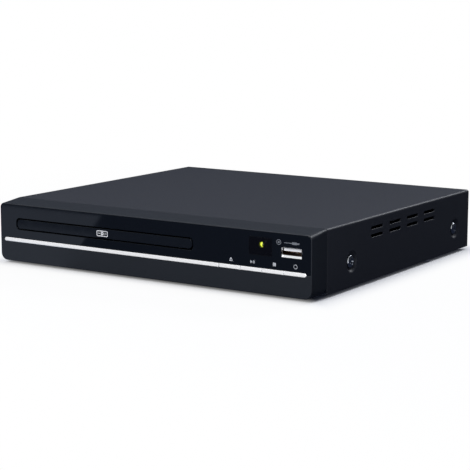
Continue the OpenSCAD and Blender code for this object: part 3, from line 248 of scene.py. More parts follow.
# %% [markdown]
# ## Cards
# Black gloss shows whatever stands round it, so a studio keeps the white room out of it
# with dark cards and adds a light card where a reflection is wanted. A darker world could
# do the same, but it would dim the light as well, so these cards show in reflections only.
# Dark ones stand behind and at the sides, and one lies on the table.
# A light one lies to the left in front: its edge draws a slanted line on the panel. Two
# more lie where only the upright edges see them, and draw a fine light line down each.


# %% Dark cards and light cards
def card(name, points, colour):
    """A flat card that only reflections see."""
    mesh = bpy.data.meshes.new(name)
    mesh.from_pydata(points, [], [list(range(len(points)))])
    material = bpy.data.materials.new(name)
    material.use_nodes = True
    material.cycles.emission_sampling = "NONE"
    tree = material.node_tree
    tree.nodes.clear()
    glow = add(tree, "Emission", {"Color": linear(colour)})
    add(tree, "OutputMaterial", {"Surface": glow.outputs[0]})
    mesh.materials.append(material)
    thing = bpy.data.objects.new(name, mesh)
    scene.collection.objects.link(thing)
    for ray in ("camera", "diffuse", "transmission", "volume_scatter", "shadow"):
        setattr(thing, "visible_" + ray, False)


ROOM, CARD_HIGH = 1.5, 2.2
SHEET_Z, LOW_CARD_Z = 0.0002, 0.0004
DARK_CARD, DARK_SHEET = "#31343c", "#232836"
back_corners = [(-ROOM, -0.2), (-ROOM, ROOM), (ROOM, ROOM), (ROOM, -0.6)]
for i, (a, b) in enumerate(zip(back_corners, back_corners[1:])):
    upright = [(*a, 0), (*b, 0), (*b, CARD_HIGH), (*a, CARD_HIGH)]
    card(f"dark_card_{i}", upright, DARK_CARD)
sheet_corners = [(-ROOM, -ROOM), (ROOM, -ROOM), (ROOM, ROOM), (-ROOM, ROOM)]
card("dark_sheet", [(x, y, SHEET_Z) for x, y in sheet_corners], DARK_SHEET)
LIGHT_CARDS = {
    # the right edge of the first starts at the front's foot and runs forward to the left
    "panel_card": (
        "#9ea7b8",
        [(-0.063, -0.106), (-0.175, -0.285), (-0.9, -0.285), (-0.9, -0.106)],
    ),
    "corner_card": (
        "#e8ebf2",
        [(0.125, -0.12), (0.125, -0.5), (0.5, -0.5), (0.5, -0.06), (0.17, -0.06)],
    ),
    "rear_card": ("#c8cdd8", [(0.11, 0.115), (0.11, 0.5), (-0.4, 0.5), (-0.4, 0.115)]),
}
for name, (colour, corners) in LIGHT_CARDS.items():
    card(name, [(x, y, LOW_CARD_Z) for x, y in corners], colour)
print(len(back_corners) - 1, "dark cards, a dark sheet and", len(LIGHT_CARDS), "light cards")

# %% [markdown]
# ## Starting a finish
# Every finish starts from one Principled shader with the real material's values.
# Noise of a real size, in millimetres, then gives it grain: it lifts the surface a little,
# and may shift its roughness and its colour. An image could give the grain as well, but
# noise needs no file and has no seams.


# %% Finish and grain
def finish(name, colour, roughness, metallic=0.0, **sockets):
    """A material with one Principled shader; sockets are named with _ for a space."""
    material = bpy.data.materials.new(name)
    material.use_nodes = True
    shader = material.node_tree.nodes["Principled BSDF"]
    shader.inputs["Base Color"].default_value = linear(colour)
    shader.inputs["Roughness"].default_value = roughness
    shader.inputs["Metallic"].default_value = metallic
    for socket, value in sockets.items():
        shader.inputs[socket.replace("_", " ")].default_value = value
    return material


def grain(material, size, height, roughness=None, colours=None, stretch=(1, 1, 1)):
    """Noise as coarse as size mm and height mm deep; roughness and colours are (low, high)."""
    tree = material.node_tree
    shader = tree.nodes["Principled BSDF"]
    place = add(tree, "TexCoord").outputs["Object"]
    place = add(tree, "Mapping", {"Vector": place, "Scale": stretch}).outputs[0]
    cells = {"Vector": place, "Scale": 1 / (size * MM), "Detail": 3}
    noise = add(tree, "TexNoise", cells).outputs["Fac"]
    bump = add(tree, "Bump", {"Height": noise, "Distance": height * MM})
    tree.links.new(bump.outputs[0], shader.inputs["Normal"])
    if roughness:
        low, high = roughness
        spread = {"From Min": 0.3, "From Max": 0.7, "To Min": low, "To Max": high}
        spread = add(tree, "MapRange", {"Value": noise, **spread})
        tree.links.new(spread.outputs[0], shader.inputs["Roughness"])
    if colours:
        ramp = add(tree, "ValToRGB", {"Fac": noise})
        for stop, at, colour in zip(ramp.color_ramp.elements, (0.35, 0.65), colours):
            stop.position, stop.color = at, linear(colour)
        tree.links.new(ramp.outputs["Color"], shader.inputs["Base Color"])
    return material


finishes = {}

# %% [markdown]
# ## Painted steel
# The cover is folded sheet steel under dark grey textured paint: a dry, even satin.
# Its grain is about a third of a millimetre and barely deep, so it softens highlights
# without showing as bumps. The rear panel has plain black powder coat, a little coarser.
# The mesh itself could be made rough, but so fine a grain is only seen in how light
# spreads, and a bump gives that without a single extra face.

# %% Textured paint and powder coat
finishes["cover_paint"] = grain(
    finish("textured_paint", "#282b32", 0.5, Specular_IOR_Level=0.35),
    size=0.35,
    height=0.012,
    roughness=(0.42, 0.56),
    colours=("#25282f", "#2b2e36"),
)
finishes["rear_steel"] = grain(
    finish("black_powder_coat", "#1c1d20", 0.5),
    size=0.5,
    height=0.02,
    roughness=(0.4, 0.6),
    colours=("#191a1d", "#202125"),
)
print("finishes so far:", len(finishes))

# %% [markdown]
# ## Moulded front
# The front is black ABS. Below the silver line and on top its mould was spark eroded,
# which leaves a fine even satin. Its real grain is a few hundredths of a millimetre, too
# fine to show, so it is drawn a quarter of a millimetre wide. The upper half is piano
# black: the same plastic from a polished mould, with a very faint waviness. The tray's
# door is gloss too, but its separate mould is a shade rougher. The window is smoked
# acrylic that passes infra-red. One black could serve them all, but only their
# reflections tell them apart, so each has a roughness of its own.

# %% Satin, gloss and smoked plastics
finishes["fascia_abs"] = grain(
    finish("spark_eroded_abs", "#21252c", 0.42, Specular_IOR_Level=0.28),
    size=0.25,
    height=0.01,
    roughness=(0.36, 0.5),
    colours=("#1f2329", "#24282f"),
)
finishes["gloss_black"] = grain(
    finish("piano_black_abs", "#12161d", 0.05, IOR=1.5),
    size=9,
    height=0.004,
    roughness=(0.04, 0.07),
)
finishes["door_gloss"] = grain(
    finish("gloss_door_abs", "#171b22", 0.1, IOR=1.5, Specular_IOR_Level=0.35),
    size=5,
    height=0.006,
    roughness=(0.08, 0.14),
)
finishes["smoked_window"] = grain(
    finish("smoked_acrylic", "#191a22", 0.04, IOR=1.49, Transmission_Weight=0.6),
    size=7,
    height=0.003,
    roughness=(0.03, 0.06),
)
print("finishes so far:", len(finishes))

# %% [markdown]
# ## Silver line
# The line and the keys are ABS with silver lacquer: metal flakes in a clear binder.
# It is mostly metal to the eye with a little white haze, so it stays bright from every
# side. Full metal would be simpler, but it turns black wherever it mirrors something dark.
# The flakes are finer than can be seen, so they are drawn an eighth of a millimetre wide.

# %% Silver lacquer
finishes["silver_line"] = grain(
    finish("silver_lacquer", "#fafbfc", 0.3, metallic=0.8),
    size=0.12,
    height=0.001,
    roughness=(0.26, 0.34),
    colours=("#f7f8fa", "#fdfdfe"),
)
print("finishes so far:", len(finishes))

# %% [markdown]
# ## Metals
# Zinc-plated sheet is a dull blue-grey with soft spangles, rods are ground bright,
# motor cans and sockets are nickel-plated, contacts are gold over nickel.
# Metals keep the default IOR; their colour is the colour of their reflection. A finish
# could be written out for each, but they differ in a few values, so a table holds those.
# Noise that is stretched along one axis stands for the fine lines of drawing or grinding.

# %% Plated, ground and gilded metals
METALS = {
    # slot: name, colour, roughness from and to, grain in mm, stretch of the grain
    "chassis_steel": ("zinc_plated_sheet", "#a9aeb3", (0.34, 0.5), 4.0, (1, 1, 1)),
    "plate_steel": ("pressed_zinc_plate", "#b4b8bc", (0.3, 0.42), 3.0, (1, 1, 1)),
    "plated_screw": ("bright_zinc_screw", "#c4c8ce", (0.05, 0.1), 0.6, (1, 1, 1)),
    "usb_steel": ("folded_nickel_plate", "#e2e4e6", (0.22, 0.34), 1.2, (1, 0.2, 1)),
    "motor_can": ("drawn_nickel_can", "#c4c6c8", (0.2, 0.3), 1.5, (1, 1, 0.1)),
    "ground_rod": ("ground_steel_rod", "#d8dadc", (0.1, 0.18), 0.4, (1, 0.05, 1)),
    "rotor_can": ("turned_nickel_cup", "#c9cbce", (0.18, 0.3), 0.8, (1, 1, 0.1)),
    "spindle_base": ("stamped_steel_base", "#8f9398", (0.35, 0.5), 1.0, (1, 1, 1)),
    "gold_contact": ("gold_over_nickel", "#d9a441", (0.2, 0.32), 0.8, (1, 1, 1)),
    # gold flash darkened to brown: painted shade for the deep inside of the USB socket
    "gold_flash": ("gold_flash_with_painted_shade", "#5f4426", (0.3, 0.42), 0.8, (1, 1, 1)),
}
for slot, (name, colour, rough, size, stretch) in METALS.items():
    finishes[slot] = grain(
        finish(name, colour, rough[0], metallic=1),
        size=size,
        height=0.003,
        roughness=rough,
        stretch=stretch,
    )
print("finishes so far:", len(finishes))

# %% [markdown]
# ## Plastics and rubber inside
# Loader and tray are black ABS with a coarser mould texture. Gears and the cam are acetal,
# slightly waxy white. Feet and bushes are rubber, which has next to no highlight. Chips
# are matt epoxy, and a capacitor's sleeve is shrunk vinyl with a soft shine. Most of this
# is hidden and could be one grey, but it shows once the tray is out or the cover is off.

# %% Inner plastics and rubber
PLASTICS = {
    # slot: name, colour, its dark and light shade, roughness from and to, grain in mm, its height
    "loader_abs": (
        "coarse_moulded_abs", "#1d1f23", ("#1a1c1f", "#222428"), (0.42, 0.58), 0.5, 0.02,
    ),
    "lift_plastic": (
        "grey_moulded_abs", "#2c2e33", ("#282a2f", "#313338"), (0.4, 0.55), 0.5, 0.02,
    ),
    "turntable_black": (
        "matt_moulded_acetal", "#16171a", ("#131417", "#1a1b1f"), (0.45, 0.6), 0.4, 0.015,
    ),
    "white_gear": (
        "white_moulded_acetal", "#e6e4da", ("#e0ded2", "#eceae1"), (0.34, 0.46), 2.0, 0.004,
    ),
    "plunger_plastic": (
        "grey_moulded_acetal", "#b8bbbd", ("#b0b3b6", "#c0c3c5"), (0.34, 0.45), 1.0, 0.006,
    ),
    "switch_body": (
        "black_moulded_nylon", "#232427", ("#1f2023", "#28292d"), (0.4, 0.55), 0.3, 0.01,
    ),
    "usb_white": (
        "white_moulded_nylon", "#fbfbfb", ("#f8f8f8", "#fdfdfd"), (0.32, 0.42), 0.6, 0.004,
    ),
    "foot_rubber": (
        "grey_moulded_rubber", "#95979c", ("#8e9095", "#9c9ea3"), (0.68, 0.85), 0.6, 0.03,
    ),
    "socket_black": (
        "black_moulded_polyester", "#151619", ("#121315", "#1a1b1e"), (0.38, 0.52), 0.4, 0.01,
    ),
    "chip_black": (
        "matt_cast_epoxy", "#17181b", ("#141517", "#1b1c1f"), (0.5, 0.62), 0.2, 0.01,
    ),
    "cap_sleeve": (
        "shrunk_vinyl_sleeve", "#1d2a56", ("#1a264e", "#22305f"), (0.25, 0.35), 1.5, 0.003,
    ),
    "transformer_tape": (
        "yellow_polyester_tape", "#d9b62c", ("#d0ad25", "#e0bf3b"), (0.3, 0.4), 1.0, 0.01,
    ),
}
for slot, (name, colour, shades, rough, size, height) in PLASTICS.items():
    finishes[slot] = grain(
        finish(name, colour, rough[0]),
        size=size,
        height=height,
        roughness=rough,
        colours=shades,
    )
print("finishes so far:", len(finishes))

# %% [markdown]
# ## Circuit boards
# A board is glass cloth or paper in resin under solder mask. The mask is glossy, and the
# copper below shows as a lighter maze. Square rings inside square cells draw that maze:
# they lie a millimetre apart and are 0.4 mm wide, about as wide as real tracks. A drawn
# image of the tracks could be laid on instead, but the cells fit a board of any size.


# %% Solder mask over copper tracks
CELL, PITCH, BARE = 6, 1, 0.62


def board(name, mask, track, roughness):
    """Solder mask over copper rings PITCH mm apart; BARE is the share without copper."""
    material = finish(name, mask, roughness)
    tree = material.node_tree
    shader = tree.nodes["Principled BSDF"]
    place = add(tree, "TexCoord").outputs["Object"]
    cells = add(
        tree,
        "TexVoronoi",
        {"Vector": place, "Scale": 1 / (CELL * MM), "Randomness": 0.55},
        distance="CHEBYCHEV",
    ).outputs["Distance"]
    lines = add(tree, "Math", {0: cells, 1: CELL / PITCH}, operation="MULTIPLY").outputs[0]
    lines = add(tree, "Math", {0: lines}, operation="FRACT").outputs[0]
    ramp = add(tree, "ValToRGB", {"Fac": lines})
    ramp.color_ramp.interpolation = "CONSTANT"
    for stop, at, colour in zip(ramp.color_ramp.elements, (0, BARE), (mask, track)):
        stop.position, stop.color = at, linear(colour)
    tree.links.new(ramp.outputs["Color"], shader.inputs["Base Color"])
    return material


finishes["board_green"] = board("green_solder_mask", "#0f4a2b", "#1c6a3e", 0.28)
finishes["board_tan"] = board("paper_board", "#9a7440", "#b08a52", 0.42)
print("boards: 2, with tracks", round(PITCH * (1 - BARE), 2), "mm wide")

# %% [markdown]
# ## Clear and lit parts
# The lamp is an epoxy lens with two chips, green and red; only its left half is lit.
# The remote receiver is epoxy dyed black, and the pickup's lens is coated glass. A small
# lamp inside the lens could light it, but a surface that glows looks the same from here
# and adds no noise.

# %% Epoxy and glass
finishes["ir_epoxy"] = grain(
    finish("dyed_epoxy", "#120d16", 0.12),
    size=1.5,
    height=0.003,
    roughness=(0.1, 0.16),
)
finishes["lens_glass"] = grain(
    finish("coated_glass", "#7fa0c8", 0.03, Transmission_Weight=0.7),
    size=2,
    height=0.001,
)
finishes["clear_epoxy"] = grain(
    finish("clear_epoxy", "#3c4030", 0.15, Transmission_Weight=0.3),
    size=0.8,
    height=0.004,
)
GLOW = {"Emission_Color": linear("#d6e34a"), "Emission_Strength": 1.0}
finishes["lamp_lens"] = grain(
    finish("lit_epoxy", "#b6cf2a", 0.3, **GLOW),
    size=0.8,
    height=0.004,
)
print("finishes so far:", len(finishes))

# %% [markdown]
# ## Inserts and inks
# The jacks have inserts of coloured ABS, so that a cable finds its place by colour.
# The signs are screen-printed ink, which dries to a satin film with a very fine grain.
# The three inks differ in how densely they were printed, from full white to thin grey.
# One white could be made thinner by transparency, but three plain greys are easier to set.

# %% Coloured plastics and inks
INSERTS = {"yellow": "#e3b81a", "white": "#e9e9e6", "red": "#b8201c"}
for name, colour in INSERTS.items():
    finishes[name + "_insert"] = grain(
        finish(name + "_moulded_insert", colour, 0.35),
        size=1,
        height=0.005,
        roughness=(0.3, 0.42),
    )
INKS = {
    "bright": ("#f2f3f4", "#fafafb"),
    "white": ("#c3c6cb", "#cfd2d6"),
    "grey": ("#787c82", "#858990"),
}
for name, shades in INKS.items():
    finishes[name + "_ink"] = grain(
        finish("screen_print_" + name, shades[0], 0.45),
        size=0.15,
        height=0.002,
        colours=shades,
    )
print(len(finishes), "finishes for", len({*slot_of.values()}), "slots and the loose pieces")

# %% [markdown]
# ## From outlines to solids
# Moulded and pressed pieces are stacks of outlines: the same ring of points drawn at
# several depths, a little smaller where an edge is rounded. Skinning the stack gives
# clean quads and true rounded edges, which a box with a bevel modifier only guesses.
# Openings are cut with solids made the same way, flared where the real edge is rounded.

# %% Rings and stacks
CORNER_STEPS = 8
SHARP = 0.01


def ring(x0, x1, z0, z1, radii, grow=0.0):
    """Rectangle whose corners have four radii: left low, right low, right high, left high."""
    x0, x1, z0, z1 = x0 - grow, x1 + grow, z0 - grow, z1 + grow
    points = []
    for k, (cx, cz) in enumerate([(x0, z0), (x1, z0), (x1, z1), (x0, z1)]):
        r = max(radii[k] + grow, 0.02)
        mid_x = cx + (r if k in (0, 3) else -r)
        mid_z = cz + (r if k in (0, 1) else -r)
        for step in range(CORNER_STEPS + 1):
            turn = math.radians(180 + 90 * k + 90 * step / CORNER_STEPS)
            points.append((mid_x + r * math.cos(turn), mid_z + r * math.sin(turn)))
    return points


def ring_at(y, box, radii, grow=0.0):
    """The same ring as 3-D points at depth y; box is x0, x1, z0, z1."""
    return [(x, y, z) for x, z in ring(*box, radii, grow)]


def quarter(radius, steps=5):
    """Depth and inset along a rounded edge, from the face inward."""
    turns = [math.pi / 2 * k / steps for k in range(steps + 1)]
    return [(radius * (1 - math.cos(t)), radius * (1 - math.sin(t))) for t in turns]


def stack(bm, rings):
    """Skin closed rings of equal point counts, each a list of 3-D points, and cap the ends."""
    loops = [[bm.verts.new(point) for point in points] for points in rings]
    for near, far in zip(loops, loops[1:]):
        for i in range(len(near)):
            j = (i + 1) % len(near)
            bm.faces.new((near[i], near[j], far[j], far[i]))
    bm.faces.new(loops[0])
    bm.faces.new(loops[-1])


def slab(bm, box, radii, y0, y1, front=SHARP, back=SHARP):
    """A plate from y0 back to y1 with rounded front and back edges."""
    levels = [(y0 + depth, -inset) for depth, inset in quarter(front)]
    levels += [(y1 - depth, -inset) for depth, inset in reversed(quarter(back))]
    stack(bm, [ring_at(y, box, radii, grow) for y, grow in levels])


def mouth(bm, box, radii, depth, flare):
    """A cutter for an opening in the face, whose edge it leaves rounded by flare."""
    levels = [(-1, flare)] + quarter(flare) + [(depth, 0.0)]
    stack(bm, [ring_at(y, box, radii, grow) for y, grow in levels])


print("corner of", CORNER_STEPS, "steps")

# %% [markdown]
# ## Turned solids
# Screws, jacks and the lamp are round. Such a solid is half its section, carried round an
# axis, as on a lathe. Blender's spin tool could do it; a short loop works along any axis
# and takes the section as a plain list.


# %% Lathe
TURN_STEPS = 48


def turned(bm, profile, axis, centre, segments=TURN_STEPS):
    """Turn a closed profile of (radius, distance along the axis) about x, y or z: 0, 1 or 2."""
    across = [i for i in range(3) if i != axis]
    loops = []
    for k in range(segments):
        turn = 2 * math.pi * k / segments
        points = []
        for radius, along in profile:
            point = list(centre)
            point[axis] += along
            point[across[0]] += radius * math.cos(turn)
            point[across[1]] += radius * math.sin(turn)
            points.append(bm.verts.new(point))
        loops.append(points)
    for near, far in zip(loops, loops[1:] + loops[:1]):
        for i in range(len(profile)):
            j = (i + 1) % len(profile)
            bm.faces.new((near[i], far[i], far[j], near[j]))
    bmesh.ops.remove_doubles(bm, verts=bm.verts, dist=1e-4)


print("a full turn takes", TURN_STEPS, "steps")

# %% [markdown]
# ## Cutting and joining
# A drawing becomes an object in the frame, and others are cut from it or joined to it with
# exact booleans. The modifiers could stay on the object, but they are applied at once,
# so no hidden cutters stay behind.


# %% Drawings and booleans
def mesh_of(bm, name):
    """Turn a drawing in shop millimetres into an object in the frame."""
    bmesh.ops.recalc_face_normals(bm, faces=bm.faces)
    bm.transform(to_frame)
    mesh = bpy.data.meshes.new(name)
    bm.to_mesh(mesh)
    bm.free()
    thing = bpy.data.objects.new(name, mesh)
    scene.collection.objects.link(thing)
    return thing


def carve(thing, draw, *args, operation="DIFFERENCE", place=None, **sizes):
    """Draw a solid and cut it from an object, or join or intersect the two."""
    bm = bmesh.new()
    draw(bm, *args, **sizes)
    if place:
        bm.transform(place)
    tool = mesh_of(bm, "tool")
    change = thing.modifiers.new("carve", "BOOLEAN")
    change.object, change.operation, change.solver = tool, operation, "EXACT"
    seen = thing.evaluated_get(bpy.context.evaluated_depsgraph_get())
    result = bpy.data.meshes.new_from_object(seen)
    thing.modifiers.clear()
    thing.data = result
    bpy.data.objects.remove(tool)


def drawn(name, draw, *args, **sizes):
    """A new object from one drawing function."""
    bm = bmesh.new()
    draw(bm, *args, **sizes)
    return mesh_of(bm, name)


print("a millimetre in the shop is", round(to_frame.median_scale, 4), "m in the frame")

# %% [markdown]
# ## Settling a piece
# A finished piece gets its material, the body that it rides on, and the solids that it
# stands for. A moulding has no facets, so its curves are smoothed. More faces could hide
# them too, but smooth shading that is weighted by face size does it with the faces there
# are, and keeps flat walls flat.

# %% Settling
SMOOTH_TO = 35


def settle(thing, finish_name, body, *nodes, smooth=SMOOTH_TO):
    """Give a piece its finish, smooth its curves and let it ride on its body."""
    thing.data.materials.clear()
    thing.data.materials.append(finishes[finish_name])
    thing.data.shade_smooth()
    thing.data.set_sharp_from_angle(angle=math.radians(smooth))
    even = thing.modifiers.new("even_shading", "WEIGHTED_NORMAL")
    even.keep_sharp = True
    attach(thing, body)
    if nodes:
        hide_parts(*nodes)
    print(thing.name, len(thing.data.polygons), "faces")


print("edges stay sharp above", SMOOTH_TO, "degrees")

# %% [markdown]
# ## Front form
# Panel and housing share one outer form: round front edges, and a top that climbs
# back to the height of the cover. It is drawn once and cut in two along the silver line,
# and inside its rounded edge, so that the edge belongs to the satin housing. Two separate
# drawings could do, but two halves of one form are sure to meet.

# %% The form both halves share
FOOT = shell_low.z
FACE_TOP, DEPTH, GLOSS_T = 38.0, 17.0, 1.6
EDGE, TOP_CORNER, BOTTOM_CORNER, FOLD = 0.5, 3.0, 4.5, 1.5
BACK_EDGE = 0.22
WALL, FRONT_WALL, FIT = 1.8, 3.2, 0.1
line_low, line_high = span("trim_strip")[0], span("power_key")[1]
PART_Z = (line_low.z + line_high.z) / 2


def front_form(bm):
    """The whole front, from its rounded face back to where the cover starts."""
    levels = [(depth, inset, 0.0) for depth, inset in quarter(EDGE, 7)]
    levels += [(EDGE + (DEPTH - EDGE) * t, 0.0, t) for t in (0.25, 0.5, 0.75, 0.985)]
    levels.append((DEPTH, BACK_EDGE, 1.0))
    rings = []
    for y, inset, climb in levels:
        top = TOP_CORNER + (FOLD - TOP_CORNER) * climb
        radii = (BOTTOM_CORNER, BOTTOM_CORNER, top, top)
        box = (-half_w, half_w, FOOT, FACE_TOP + (cover_top - FACE_TOP) * climb)
        rings.append(ring_at(y, box, radii, -inset))
    stack(bm, rings)


def grown(box_low, box_high, gap):
    """A rectangle in the face, widened by a gap on every side."""
    return (box_low.x - gap, box_high.x + gap, box_low.z - gap, box_high.z + gap)


def around(x, z, half_long, half_high):
    """A rectangle in the face round a middle."""
    return (x - half_long, x + half_long, z - half_high, z + half_high)


door_low, door_high = span("tray_door")
window_low, window_high = span("sensor_window")
usb_low, usb_high = span("usb_shell")


def plate_outline(gap):
    """Box and corner radii of the gloss plate, widened by a gap."""
    side, top = half_w - EDGE + gap, FACE_TOP - EDGE + gap
    top_r = TOP_CORNER - EDGE + gap
    return (-side, side, PART_Z + 0.12 - gap, top), [0.02, 0.02, top_r, top_r]


CHANNEL_GAP, DOOR_GAP = 0.1, 1.0
CHANNEL_DEPTH, THROUGH = 2.25, FRONT_WALL + 1
channel_r = (line_high.z - line_low.z) / 2 + CHANNEL_GAP - 0.05


def cut_openings(thing):
    """Tray mouth, window seat, socket mouth and the channel of the silver line."""
    for low, high, gap, radius, depth, flare in (
        (door_low, door_high, DOOR_GAP, 2.6, THROUGH, 0.04),
        (window_low, window_high, FIT, 0.3, THROUGH, 0.03),
        (usb_low, usb_high, FIT, 0.6, THROUGH, 0.1),
        (line_low, line_high, CHANNEL_GAP, channel_r, CHANNEL_DEPTH, 0.12),
    ):
        carve(thing, mouth, grown(low, high, gap), [radius] * 4, depth, flare)


print(f"parted at {PART_Z:.2f} mm")

# %% [markdown]
# ## Gloss panel
# The upper front is a thin polished plate. It is the shared form, kept only where it is
# less than 1.6 mm deep, above the silver line and inside the rounded edge, with the
# openings cut through. The front face could be thickened instead, but the cut keeps the
# form's round corners exact.

# %% Gloss panel
gloss_panel = drawn("gloss_face", front_form)
carve(gloss_panel, slab, *plate_outline(0), -2, GLOSS_T, operation="INTERSECT")
cut_openings(gloss_panel)
settle(gloss_panel, "gloss_black", "case", "gloss_panel")

# %% [markdown]
# ## Satin housing
# The housing behind and below is the same form with the plate's seat and the hollow taken
# away. Inside it has lips that back the cover, clips that hook into the floor pan, and
# posts for the key board, as a moulder draws them: plain walls and round bosses. They
# could be objects of their own, but joined to the wall they read as one moulding.

# %% Satin housing
KEYS = ("eject", "play", "stop", "power")
KEY_SLOT = (2.7, 1)
CLIP_X, CLIP_W = 60, 8
SIDE_LIP_X, SIDE_LIP_TOP = (110.2, 111.5), 35.6
TOP_LIP = (36.8, 38.4)
POSTS = ((47.75, 8.6), (61.75, 31.0), (105.9, 8.6))
POST_R, POST_BORE, POST_START, POST_END = 2.7, 0.9, FRONT_WALL - 0.5, 10.4
LEDGE_R = 0.45


def ledge_round(bm):
    """Cutter that rounds the ledge under the plate, which shows beside the silver line."""
    z, end = PART_Z + 0.08, half_w - EDGE
    arc = [(y, z - inset) for y, inset in quarter(LEDGE_R)]
    section = [(-1, z - LEDGE_R), *arc, (LEDGE_R, z + 0.2), (-1, z + 0.2)]
    stack(bm, [[(x, y, h) for y, h in section] for x in (-end, end)])


housing = drawn("front_housing", front_form)
carve(housing, slab, *plate_outline(FIT / 2), -2, GLOSS_T + FIT)
carve(housing, ledge_round)
hollow = (-half_w + WALL, half_w - WALL, FOOT + WALL, FACE_TOP - WALL)
carve(housing, slab, hollow, [1.0] * 4, FRONT_WALL, DEPTH + 1)
cut_openings(housing)
ribs = [((-half_w + 5, half_w - 5, *TOP_LIP), DEPTH - 2, DEPTH + 3)]
for side in (-1, 1):
    lip = sorted(side * x for x in SIDE_LIP_X)
    ribs.append(((*lip, FOOT + 6, SIDE_LIP_TOP), DEPTH - 2, DEPTH + 3))
    clip = (side * CLIP_X - CLIP_W / 2, side * CLIP_X + CLIP_W / 2)
    ribs.append(((*clip, FOOT + 1, FOOT + WALL + 2.1), DEPTH - 4, DEPTH - 2))
    ribs.append(((*clip, FOOT + WALL + 0.6, FOOT + WALL + 2.1), DEPTH - 4, DEPTH + 1.4))
    ribs.append(((*clip, FOOT + WALL + 1, FOOT + WALL + 3.1), DEPTH + 1.4, DEPTH + 2.6))
for box, y0, y1 in ribs:
    carve(housing, slab, box, [0.15] * 4, y0, y1, operation="UNION", back=0.15)
for x, z in POSTS:
    post = around(x, z, POST_R, POST_R)
    carve(housing, slab, post, [POST_R] * 4, POST_START, POST_END, operation="UNION", back=0.3)
    bore = around(x, z, POST_BORE, POST_BORE)
    carve(housing, slab, bore, [POST_BORE] * 4, FRONT_WALL, POST_END + 0.6)
for key in KEYS:
    low, high = span(key + "_key")
    slot = around((low.x + high.x) / 2, PART_Z, *KEY_SLOT)
    carve(housing, slab, slot, [0.2] * 4, 0, THROUGH)
settle(housing, "fascia_abs", "case", "front_fascia")

# %% [markdown]
# ## Tray door
# The door is a slim gloss bar on the tray's nose, a hair smaller than its mouth.
# The dark gap round it draws its outline, so its edge is hardly broken.
# Its face leans back two degrees, so it mirrors another part of the room. The whole bar
# could be turned, but only its front is moved, so its back stays square on the tray.

# %% Tray door
DOOR_LEAN = 0.04


def door_bar(bm):
    """The bar with its four round corners, leaning back."""
    box = grown(door_low, door_high, 0)
    slab(bm, box, [2.3] * 4, 0, door_high.y, front=0.06, back=0.2)
    for corner in bm.verts:
        if corner.co.y < 1:
            corner.co.y += DOOR_LEAN * (corner.co.z - door_low.z)


settle(drawn("tray_nose_door", door_bar), "door_gloss", "tray", "tray_door")

# %% [markdown]
# ## Silver line and keys
# One bar, its right end cut into four keys. Their face leans back a little, by a sixth
# of its height, so it mirrors the bright room in front and not the dark table. A glowing
# line would be bright too, but it would stay as bright in the dark.

# %% Silver line
LINE_TRIM, LEAN, LINE_EDGE, KEY_CORNER = 0.15, 0.17, 0.4, 0.12
END_R = (line_high.z - line_low.z) / 2 - LINE_TRIM - 0.01


def line_piece(bm, x0, x1, y1, left, right):
    """A stretch of the silver line from x0 to x1 with its two end radii."""
    box = (x0, x1, line_low.z + LINE_TRIM, line_high.z - LINE_TRIM)
    slab(bm, box, [left, right, right, left], line_low.y, y1, front=LINE_EDGE, back=0.1)
    for corner in bm.verts:
        if corner.co.y < 0.2:
            corner.co.y += LEAN * (corner.co.z - line_low.z)


trim_high = span("trim_strip")[1]
trim = (line_low.x, trim_high.x, trim_high.y, END_R, KEY_CORNER)
settle(drawn("silver_bar", line_piece, *trim), "silver_line", "case", "trim_strip")

# %% [markdown]
# ## Keys
# Each key is a cap in the line, with a stem through the front and a collar behind it that
# keeps it from falling out. Its cap is a hair longer than its solid, so the joints between
# the keys are fine lines. The line could be one bar with drawn joints, but keys that press
# in have to be pieces on bodies of their own.

# %% Keys
CAP_GROW, CAP_BACK, STEM_FROM = 0.06, 1.6, 1.0
STEM, KEY_COLLAR, KEY_COLLAR_Y = (2.5, 0.8), (3.5, 1.7), (3.3, 4.1)
for key in KEYS:
    low, high = span(key + "_key")
    middle = (low.x + high.x) / 2
    right = END_R if key == "power" else KEY_CORNER
    ends = (low.x - CAP_GROW, high.x + CAP_GROW)
    cap = drawn(key + "_key_cap", line_piece, *ends, CAP_BACK, KEY_CORNER, right)
    stem = around(middle, PART_Z, *STEM)
    carve(cap, slab, stem, [0.2] * 4, STEM_FROM, high.y, operation="UNION")
    collar = around(middle, PART_Z, *KEY_COLLAR)
    carve(cap, slab, collar, [0.2] * 4, *KEY_COLLAR_Y, operation="UNION")
    settle(cap, "silver_line", body_of[key + "_key"], key + "_key")

# %% [markdown]
# ## Window
# The smoked window drops into its seat almost flush, and a hole in it takes the lamp. A
# dark patch on the panel could stand for it, but only a clear pane shows some depth.

# %% Window
lamp_low, lamp_high = span("standby_led")
LAMP_R = 1.5
lamp_x, lamp_z = (lamp_low.x + lamp_high.x) / 2, (lamp_low.z + lamp_high.z) / 2
pane = grown(window_low, window_high, 0)
window = drawn("smoked_pane", slab, pane, [0.25] * 4, 0.02, window_high.y, front=0.04)
bore = [(0, -1), (LAMP_R + FIT, -1), (LAMP_R + FIT, 5), (0, 5)]
carve(window, turned, bore, 1, (lamp_x, 0, lamp_z))
settle(window, "smoked_window", "case", "sensor_window")

# %% [markdown]
# ## Standby lamp
# It is a 3 mm epoxy lamp, a dome on a collar, with two chips and two legs. The left chip
# is lit and fills a little more than its half. A mask could light half of one lens, but
# two halves cut from the same turned shape give a clean line and plain materials.

# %% Lamp
LAMP_FACE, LAMP_END, COLLAR_R, COLLAR_END = 0.1, 6.3, 1.9, 7.2
LEG_X, LEG_R, LEG_FROM = 0.8, 0.3, 7
LIT_TO = 0.35
dome = [
    (LAMP_R * math.sin(t), LAMP_FACE + LAMP_R * (1 - math.cos(t)))
    for t in [math.pi / 2 * k / 8 for k in range(9)]
]
lamp_shape = dome + [(LAMP_R, LAMP_END), (COLLAR_R, LAMP_END)]
lamp_shape += [(COLLAR_R, COLLAR_END), (0, COLLAR_END)]


